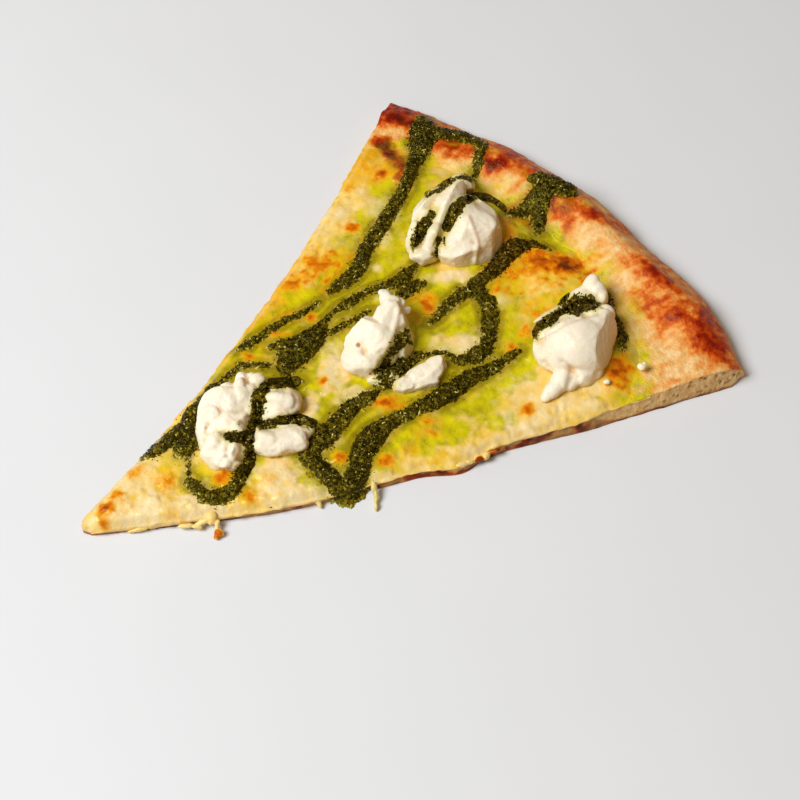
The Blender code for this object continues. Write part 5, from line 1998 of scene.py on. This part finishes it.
@dataclass
class Drizzle:
    """Pesto that lies on the cheese and the rim: strokes run together, coarse on top. In mm."""

    name: str
    strokes: dict
    replaces: tuple
    step: float = 0.36
    margin: float = 4.0
    crown: float = 0.30
    ragged: float = 0.9
    ragged_size: float = 2.8
    torn_size: float = 1.1
    narrower: float = 0.35
    shred: float = 1.7
    small_shred: float = 0.9
    kept_below: float = 0.35
    edge_sunk: float = 0.45
    buried: float = 0.5
    lowest: float = 0.05
    seed: int = 1

    def thickness(self, x: np.ndarray, y: np.ndarray) -> np.ndarray:
        """How high the pesto stands above what it lies on, negative beyond its edge."""
        here = flat(x, y)
        gap, half = reach_of_routes(x, y, routes_of(self.strokes, 2.0))
        ragged = self.ragged * swells(here, self.ragged_size, self.seed, 2)
        ragged = ragged + self.ragged * swells(here, self.torn_size, self.seed + 3, 2)
        gap = gap + self.narrower + ragged
        share = np.clip(-gap / np.maximum(half * 0.85, 0.8), -1, 1)
        full = 0.45 + self.crown * half
        high = np.where(share > 0, full * np.sqrt(np.clip(1 - (1 - share) ** 2, 0, 1)), share * 1.6)
        near, own = grains(here, self.shred, self.seed + 5)
        tiny, _ = grains(here, self.small_shred, self.seed + 6)
        coarse = 0.55 * (0.7 - near) * (0.4 + own) + 0.22 * (0.6 - tiny)
        coarse = coarse + 0.3 * swells(here, 2.6, self.seed + 7, 2)
        return high + coarse * eased(share * 3 + 0.5)

    def build(self, around: Surroundings) -> Object:
        """Makes the piece on what is already there."""
        every = np.vstack([np.array(points) for points in self.strokes.values()])
        low = every[:, :2].min(axis=0) - self.margin
        high = every[:, :2].max(axis=0) + self.margin
        counts = np.ceil((high - low) / self.step).astype(int)
        shape = bmesh.new()
        bmesh.ops.create_grid(shape, x_segments=int(counts[0]), y_segments=int(counts[1]), size=0.5)
        size = counts * self.step
        middle = low + size / 2
        bmesh.ops.scale(shape, verts=shape.verts, vec=(float(size[0]), float(size[1]), 1.0))
        bmesh.ops.translate(shape, verts=shape.verts, vec=(float(middle[0]), float(middle[1]), 0.0))
        places = np.array([vertex.co[:2] for vertex in shape.verts])
        thick = self.thickness(places[:, 0], places[:, 1])
        shape.verts.ensure_lookup_table()
        keep = thick > -self.kept_below
        spare = [face for face in shape.faces if not any(keep[vertex.index] for vertex in face.verts)]
        for vertex, height in zip(shape.verts, thick):
            vertex.co.z = float(height)
        bmesh.ops.delete(shape, geom=spare, context="FACES")
        for vertex in shape.verts:
            bed = around.height(vertex.co.x, vertex.co.y)
            vertex.co.z = max(bed + max(vertex.co.z, -self.edge_sunk), self.lowest)
        lower = bmesh.ops.extrude_face_region(shape, geom=shape.faces[:], use_keep_orig=True)["geom"]
        for item in lower:
            if isinstance(item, BMVert):
                bed = around.height(item.co.x, item.co.y)
                item.co.z = max(min(bed - self.buried, item.co.z - self.lowest), 0.0)
        mesh = mesh_from(shape, self.name)
        tidy_mesh(mesh, 0.001)
        points = vertices_of(mesh)
        gap, half = reach_of_routes(points[:, 0], points[:, 1], routes_of(self.strokes, 3.0))
        tone = 0.13 - 0.04 * (half - 1.5) + 0.08 * swells(points, 5.0, self.seed + 11, 2)
        paint(mesh, {"tone": tone + 0.2 * eased(1 + gap), "burnt": burnt_at(points[:, 0], points[:, 1])})
        return finished_piece(self.name, mesh, Finish.PESTO.material(), self.replaces)


CAUGHT_PESTO = ((1, 189, 9, 8, 1.0), (2, 178, 4, 6, 0.5), (4, 199, 5, 4, 0.7))


def burnt_at(x: np.ndarray, y: np.ndarray) -> np.ndarray:
    """How brown the pesto is: the band between two spoonfuls has caught."""
    return 0.75 * spotted(x, y, CAUGHT_PESTO, 91, 0.7, 0.4)


LEFT_DRIZZLE = Drizzle(
    "pesto_left_drizzle",
    LEFT_STROKES,
    (
        "pesto_left_long", "pesto_left_short", "pesto_rim_hook", "pesto_patch_strand", "pesto_patch_knot",
        "pesto_patch", "pesto_tip_arc", "pesto_tip_patch", "pesto_tip_bowl",
    ),
    seed=201,
)

RIGHT_DRIZZLE = Drizzle(
    "pesto_right_drizzle",
    RIGHT_STROKES,
    (
        "pesto_turn", "pesto_right_long", "pesto_band", "pesto_band_tail", "pesto_loop", "pesto_rim_top",
        "pesto_rim_branch", "pesto_by_cut_side_ricotta",
    ),
    seed=231,
)


@dataclass
class DrapedRibbon:
    """Pesto draped over the ricotta, along places in the picture with half widths there."""

    name: str
    routes: tuple
    replaces: tuple
    facets_across: int = 16
    taper: tuple = (0.35, 0.7, 0.9)  # share of the width at an end and next to it
    torn_size: float = 1.5
    shred: float = 1.1
    deep: float = 0.6  # how far its underside lies in the ricotta
    edge_sunk: float = 0.4
    step: float = 1.05  # along the route, in the picture
    longest: float = 1.25  # where the ribbon would stretch further than this it is torn
    crown: float = 0.17
    bare: float = 0.0  # how much of the ricotta shows through
    ample: float = 1.4  # the sheet's width, of which the ragged outline keeps about 1
    seed: int = 1

    def smooth_routes(self) -> list[np.ndarray]:
        """The routes, evenly stepped."""
        return [smooth_route(route, self.step) for route in self.routes]

    def build(self, around: Surroundings) -> Object:
        """Makes the piece on what is already there."""
        whole = bmesh.new()
        for number, route in enumerate(self.smooth_routes()):
            self.add_ribbon(whole, route, around, self.seed + 17 * number)
        mesh = mesh_from(whole, self.name)
        tidy_mesh(mesh, 0.001)
        points = vertices_of(mesh)
        paint(mesh, {
            "tone": 0.08 + 0.10 * swells(points, 3.0, self.seed, 2),
            "burnt": 0.25 + 0.25 * swells(points, 6.0, self.seed + 1),
        })
        return finished_piece(self.name, mesh, Finish.PESTO.material(), self.replaces)

    def add_ribbon(self, whole: BMesh, route: np.ndarray, around: Surroundings, seed: int) -> None:
        """Adds one ribbon to the whole, in mm in the slice's plan."""
        last = len(route) - 1
        part = bmesh.new()
        bmesh.ops.create_grid(part, x_segments=self.facets_across, y_segments=last, size=0.5)
        runs = np.gradient(route[:, :2], axis=0)
        runs /= np.maximum(np.linalg.norm(runs, axis=1), 1e-9)[:, None]
        spots, ways, shares = [], [], []
        for vertex in part.verts:
            index = int(round((vertex.co.y + 0.5) * last))
            side = 2 * vertex.co.x * self.ample
            ending = min(index, last - index)
            half = route[index, 2] * (self.taper[ending] if ending < len(self.taper) else 1.0)
            u = route[index, 0] - runs[index, 1] * side * half
            v = route[index, 1] + runs[index, 0] * side * half
            spot, normal = around.in_view(u, v)
            spots.append(spot)
            ways.append(normal)
            shares.append((side, half / EYE.picture_scales()[0], ending))
        spots, ways = np.array(spots), np.array(ways)
        side, half, ending = np.array(shares).T
        ways = ways + EYE.axes()[2] * 0.8
        ways /= np.linalg.norm(ways, axis=1)[:, None]
        edge = 1 - np.abs(side) + swells(spots, self.torn_size, seed, 3) - self.bare
        full = (0.20 + self.crown * half) * np.clip((ending + 1) / 4, 0, 1)
        high = np.where(edge > 0, full * np.sqrt(np.clip(edge, 0, 1)), edge * 1.2)
        near, own = grains(spots, self.shred, seed + 5)
        high = high + 0.62 * (0.58 - near) * (0.6 + 0.8 * own) * (np.abs(side) < 1.2)
        for vertex, place in zip(part.verts, spots):
            vertex.co = place
        torn = [
            face for face in part.faces if max(line.calc_length() for line in face.edges) > self.longest
        ]
        bmesh.ops.delete(part, geom=torn, context="FACES_ONLY")
        tops = list(part.verts)
        made = bmesh.ops.extrude_face_region(part, geom=part.faces[:], use_keep_orig=True)["geom"]
        lowers = [item for item in made if isinstance(item, BMVert)]
        upper = spots + ways * np.maximum(high, -self.edge_sunk)[:, None]
        for vertices, places in ((tops, upper), (lowers, spots - ways * self.deep)):
            for vertex, place in zip(vertices, places):
                vertex.co = place
        pour(part, whole)


ON_RIM = DrapedRibbon(
    "pesto_over_rim_spoonful",
    (
        ((425, 197, 2), (432, 193, 2), (440, 189, 2.5), (447, 184, 2.5), (453, 180, 2), (460, 177, 2),
         (468, 178, 2), (473, 183, 1.5)),
        ((506, 212, 1.5), (500, 206, 2), (494, 202, 2), (487, 198.5, 2.5), (478, 197, 2.5),
         (470, 198.5, 3.5), (463, 201.5, 5), (458, 206, 6), (454, 213, 5.5), (450, 220, 5), (446, 228, 4),
         (444, 232, 3)),
        ((439, 237, 3), (438, 243, 2), (436, 250, 1.5), (437, 258, 1.5)),
        ((444, 236, 1), (445, 246, 1)),
        ((434, 211, 4), (429, 218, 5), (424, 225, 5.5), (420, 232, 5.5), (416, 240, 5), (414, 247, 3.5)),
    ),
    ("pesto_on_rim_ricotta", "pesto_on_rim_ricotta_fold"),
    seed=301,
)

ON_MIDDLE = DrapedRibbon(
    "pesto_over_middle_spoonful",
    (
        ((409, 329, 3), (404, 336, 6), (399, 343, 6.5), (393, 350, 4.5), (388, 358, 5), (385, 366, 7),
         (384, 375, 10), (387, 383, 9), (390, 388, 5)),
        ((413, 345, 2), (408, 340, 3), (405, 334, 3)),
        ((424, 355.5, 3), (418, 357.5, 3.5), (411, 360, 5), (405, 363, 6), (399, 369, 5.5), (393, 374, 4)),
    ),
    ("pesto_on_middle_ricotta",),
    bare=0.3,
    seed=321,
)

ON_CUT_SIDE = DrapedRibbon(
    "pesto_over_cut_spoonful",
    (
        ((598, 305.5, 3), (595, 306, 4.5), (588, 303.5, 7.5), (578, 304.5, 9), (569, 306.5, 8),
         (561, 311, 4.5), (553, 317, 5), (547, 321, 5.5), (541, 326, 3), (537, 332, 3), (535, 339, 2.5)),
    ),
    ("pesto_on_cut_side_ricotta",),
    seed=341,
)

ON_TIP = DrapedRibbon(
    "pesto_over_tip_spoonful",
    (
        ((301, 381, 3), (290, 384, 4), (278, 384.5, 4), (266, 387, 4.5), (260, 393, 5), (258, 403, 6.5),
         (257, 413, 6), (255, 423, 4.5), (250, 431, 4), (246, 438, 6)),
        ((247, 438, 6), (237, 437, 5), (229, 436, 4.5), (223, 436, 2.5)),
        ((256, 424, 3), (264, 424.5, 4), (272, 423.5, 4.5), (282, 420, 4), (292, 419.5, 4), (302, 421, 4),
         (310, 424, 3.5), (316, 427, 4)),
        ((246, 440, 5.5), (248, 448, 5), (249, 456, 5), (247, 464, 5.5), (243, 471, 5.5), (239, 477, 5)),
    ),
    ("pesto_on_tip_ricotta", "pesto_on_tip_ricotta_fold", "pesto_on_tip_ricotta_cross"),
    seed=361,
)

RIBBONS = (ON_RIM, ON_MIDDLE, ON_CUT_SIDE, ON_TIP)


@dataclass
class ChoppedBits:
    """Chopped leaf, nut and cheese standing out of the pesto, all in one piece. Lengths in mm."""

    name: str
    routes: list[np.ndarray]  # in the slice's plan, or in the picture
    in_picture: bool = False
    each_mm2: float = 2.3
    smallest: float = 0.16
    largest: float = 0.42
    shortest: float = 1.2  # a bit's half length, width and depth are shares of its size
    longer_by: float = 1.8
    width: float = 0.8
    depth: float = 0.42
    proud: float = 0.2
    loose: float = 0.08  # share of bits that lie beyond the edge
    fringe: float = 0.45
    tilt: float = 0.45
    lowest: float = 1.5
    batch: int = 250
    seed: int = 1

    def build(self, around: Surroundings) -> Object:
        """Makes the piece on what is already there."""
        rng = np.random.default_rng(self.seed)
        whole = bmesh.new()
        part = bmesh.new()
        count = 0
        scale = EYE.picture_scales()[0] if self.in_picture else 1.0
        for route in self.routes:
            for a, b in zip(route, route[1:]):
                length = float(np.linalg.norm((b - a)[:2]))
                across = np.array((b[1] - a[1], a[0] - b[0])) / max(length, 1e-9)
                for _ in range(rng.poisson(self.each_mm2 * 2 * a[2] * length / scale**2)):
                    out = rng.uniform(-1, 1)
                    if rng.random() < self.loose:
                        out = math.copysign(1 + rng.exponential(self.fringe * scale) / a[2], out)
                    place = a[:2] + (b - a)[:2] * rng.random() + across * out * a[2]
                    count += self.add_bit(part, place, around, rng)
                    if count % self.batch == 0:
                        pour(part, whole)
                        part = bmesh.new()
        pour(part, whole)
        mesh = mesh_from(whole, self.name)
        own = np.repeat(rng.random(count), len(mesh.vertices) // max(count, 1))
        points = vertices_of(mesh)
        # about one bit in twelve is pale: nut and cheese, and also painted highlights of oil
        paint(mesh, {
            "tone": np.where(own > 0.92, 0.42, 0.18 * own**2),
            "burnt": burnt_at(points[:, 0], points[:, 1]),
        })
        return finished_piece(self.name, mesh, Finish.PESTO.material(), sharp_deg=40)

    def add_bit(
        self, part: BMesh, place: np.ndarray, around: Surroundings, rng: np.random.Generator
    ) -> int:
        """Adds one bit, flat and tilted at random, on top of what lies at the place.

        Returns:
            1, or 0 where nothing carries it.
        """
        size = self.smallest + (self.largest - self.smallest) * rng.random() ** 2
        look = around.in_view if self.in_picture else around.from_above
        hit = look(float(place[0]), float(place[1]))
        if hit is None or hit[0][2] < self.lowest:
            return 0
        spot, normal = hit
        lean = Vector(normal + rng.normal(size=3) * self.tilt).normalized().to_track_quat("Z", "Y")
        turn = lean.to_matrix().to_4x4() @ Matrix.Rotation(float(rng.random()) * math.tau, 4, "Z")
        length = self.shortest + self.longer_by * rng.random()
        shape = Matrix.Diagonal((size * length, size * self.width, size * self.depth, 1.0))
        middle = Matrix.Translation(Vector(spot + normal * size * self.proud))
        bmesh.ops.create_icosphere(part, subdivisions=1, radius=1.0, matrix=middle @ turn @ shape)
        return 1


# the studio


@dataclass
class Studio:
    """A pale floor, one large soft light and an even surround."""

    key_watts: float = 22.9
    key_size: float = 0.82  # m
    key_distance: float = 1.5  # m
    key_tint: str = "FFFEFC"
    surround: float = 0.27
    surround_tint: str = "FFEAC5"
    floor_half: float = 3.0  # m
    floor_below: float = 0.0001  # m

    def build(self) -> None:
        """Makes the floor, the light and the surround."""
        shape = bmesh.new()
        bmesh.ops.create_grid(shape, x_segments=8, y_segments=8, size=self.floor_half)
        bmesh.ops.translate(shape, verts=shape.verts, vec=(0.0, 0.0, -self.floor_below))
        mesh = mesh_from(shape, "studio_floor")
        mesh.materials.append(Finish.FLOOR.material())
        placed("studio_floor", mesh)

        way = Vector(light_way())
        data = bpy.data.lights.new("key", "AREA")
        data.shape = "DISK"
        data.size = self.key_size
        data.energy = self.key_watts
        data.color = colour(self.key_tint)[:3]
        key = placed("key", data)
        key.location = way * self.key_distance
        key.rotation_euler = way.to_track_quat("Z", "Y").to_euler()

        world = bpy.data.worlds.new("surround")
        world.use_nodes = True
        sky = world.node_tree.nodes["Background"]
        feed(world.node_tree, sky, {"Color": self.surround_tint, "Strength": self.surround})
        bpy.context.scene.world = world
        bpy.context.scene.view_settings.view_transform = "Standard"


def main() -> None:
    """Builds the pieces in order and reports each."""
    logging.basicConfig(level=logging.INFO, format="%(message)s")
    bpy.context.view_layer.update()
    EYE.make_camera()
    Studio().build()
    around = Surroundings()
    around.take_in(DoughBase().build().data)
    around.take_in(CheeseLayer().build().data)
    CheeseDrips().build()
    bed = Surroundings(around.trees)
    stains = [route for ribbon in RIBBONS for route in ribbon.smooth_routes()]
    for spoonful in SPOONFULS:
        around.take_in(spoonful.build(bed, stains).data)
    pesto_bed = Surroundings(bed.trees)
    for drizzle in (LEFT_DRIZZLE, RIGHT_DRIZZLE):
        pesto_bed.take_in(drizzle.build(bed).data)
    for ribbon in RIBBONS:
        around.take_in(ribbon.build(around).data)
    ChoppedBits("pesto_bits_left", routes_of(LEFT_STROKES, 0.8), seed=401).build(pesto_bed)
    ChoppedBits("pesto_bits_right", routes_of(RIGHT_STROKES, 0.8), seed=402).build(pesto_bed)
    ChoppedBits("pesto_bits_on_ricotta", stains, in_picture=True, seed=403).build(around)


if __name__ == "__main__":
    main()
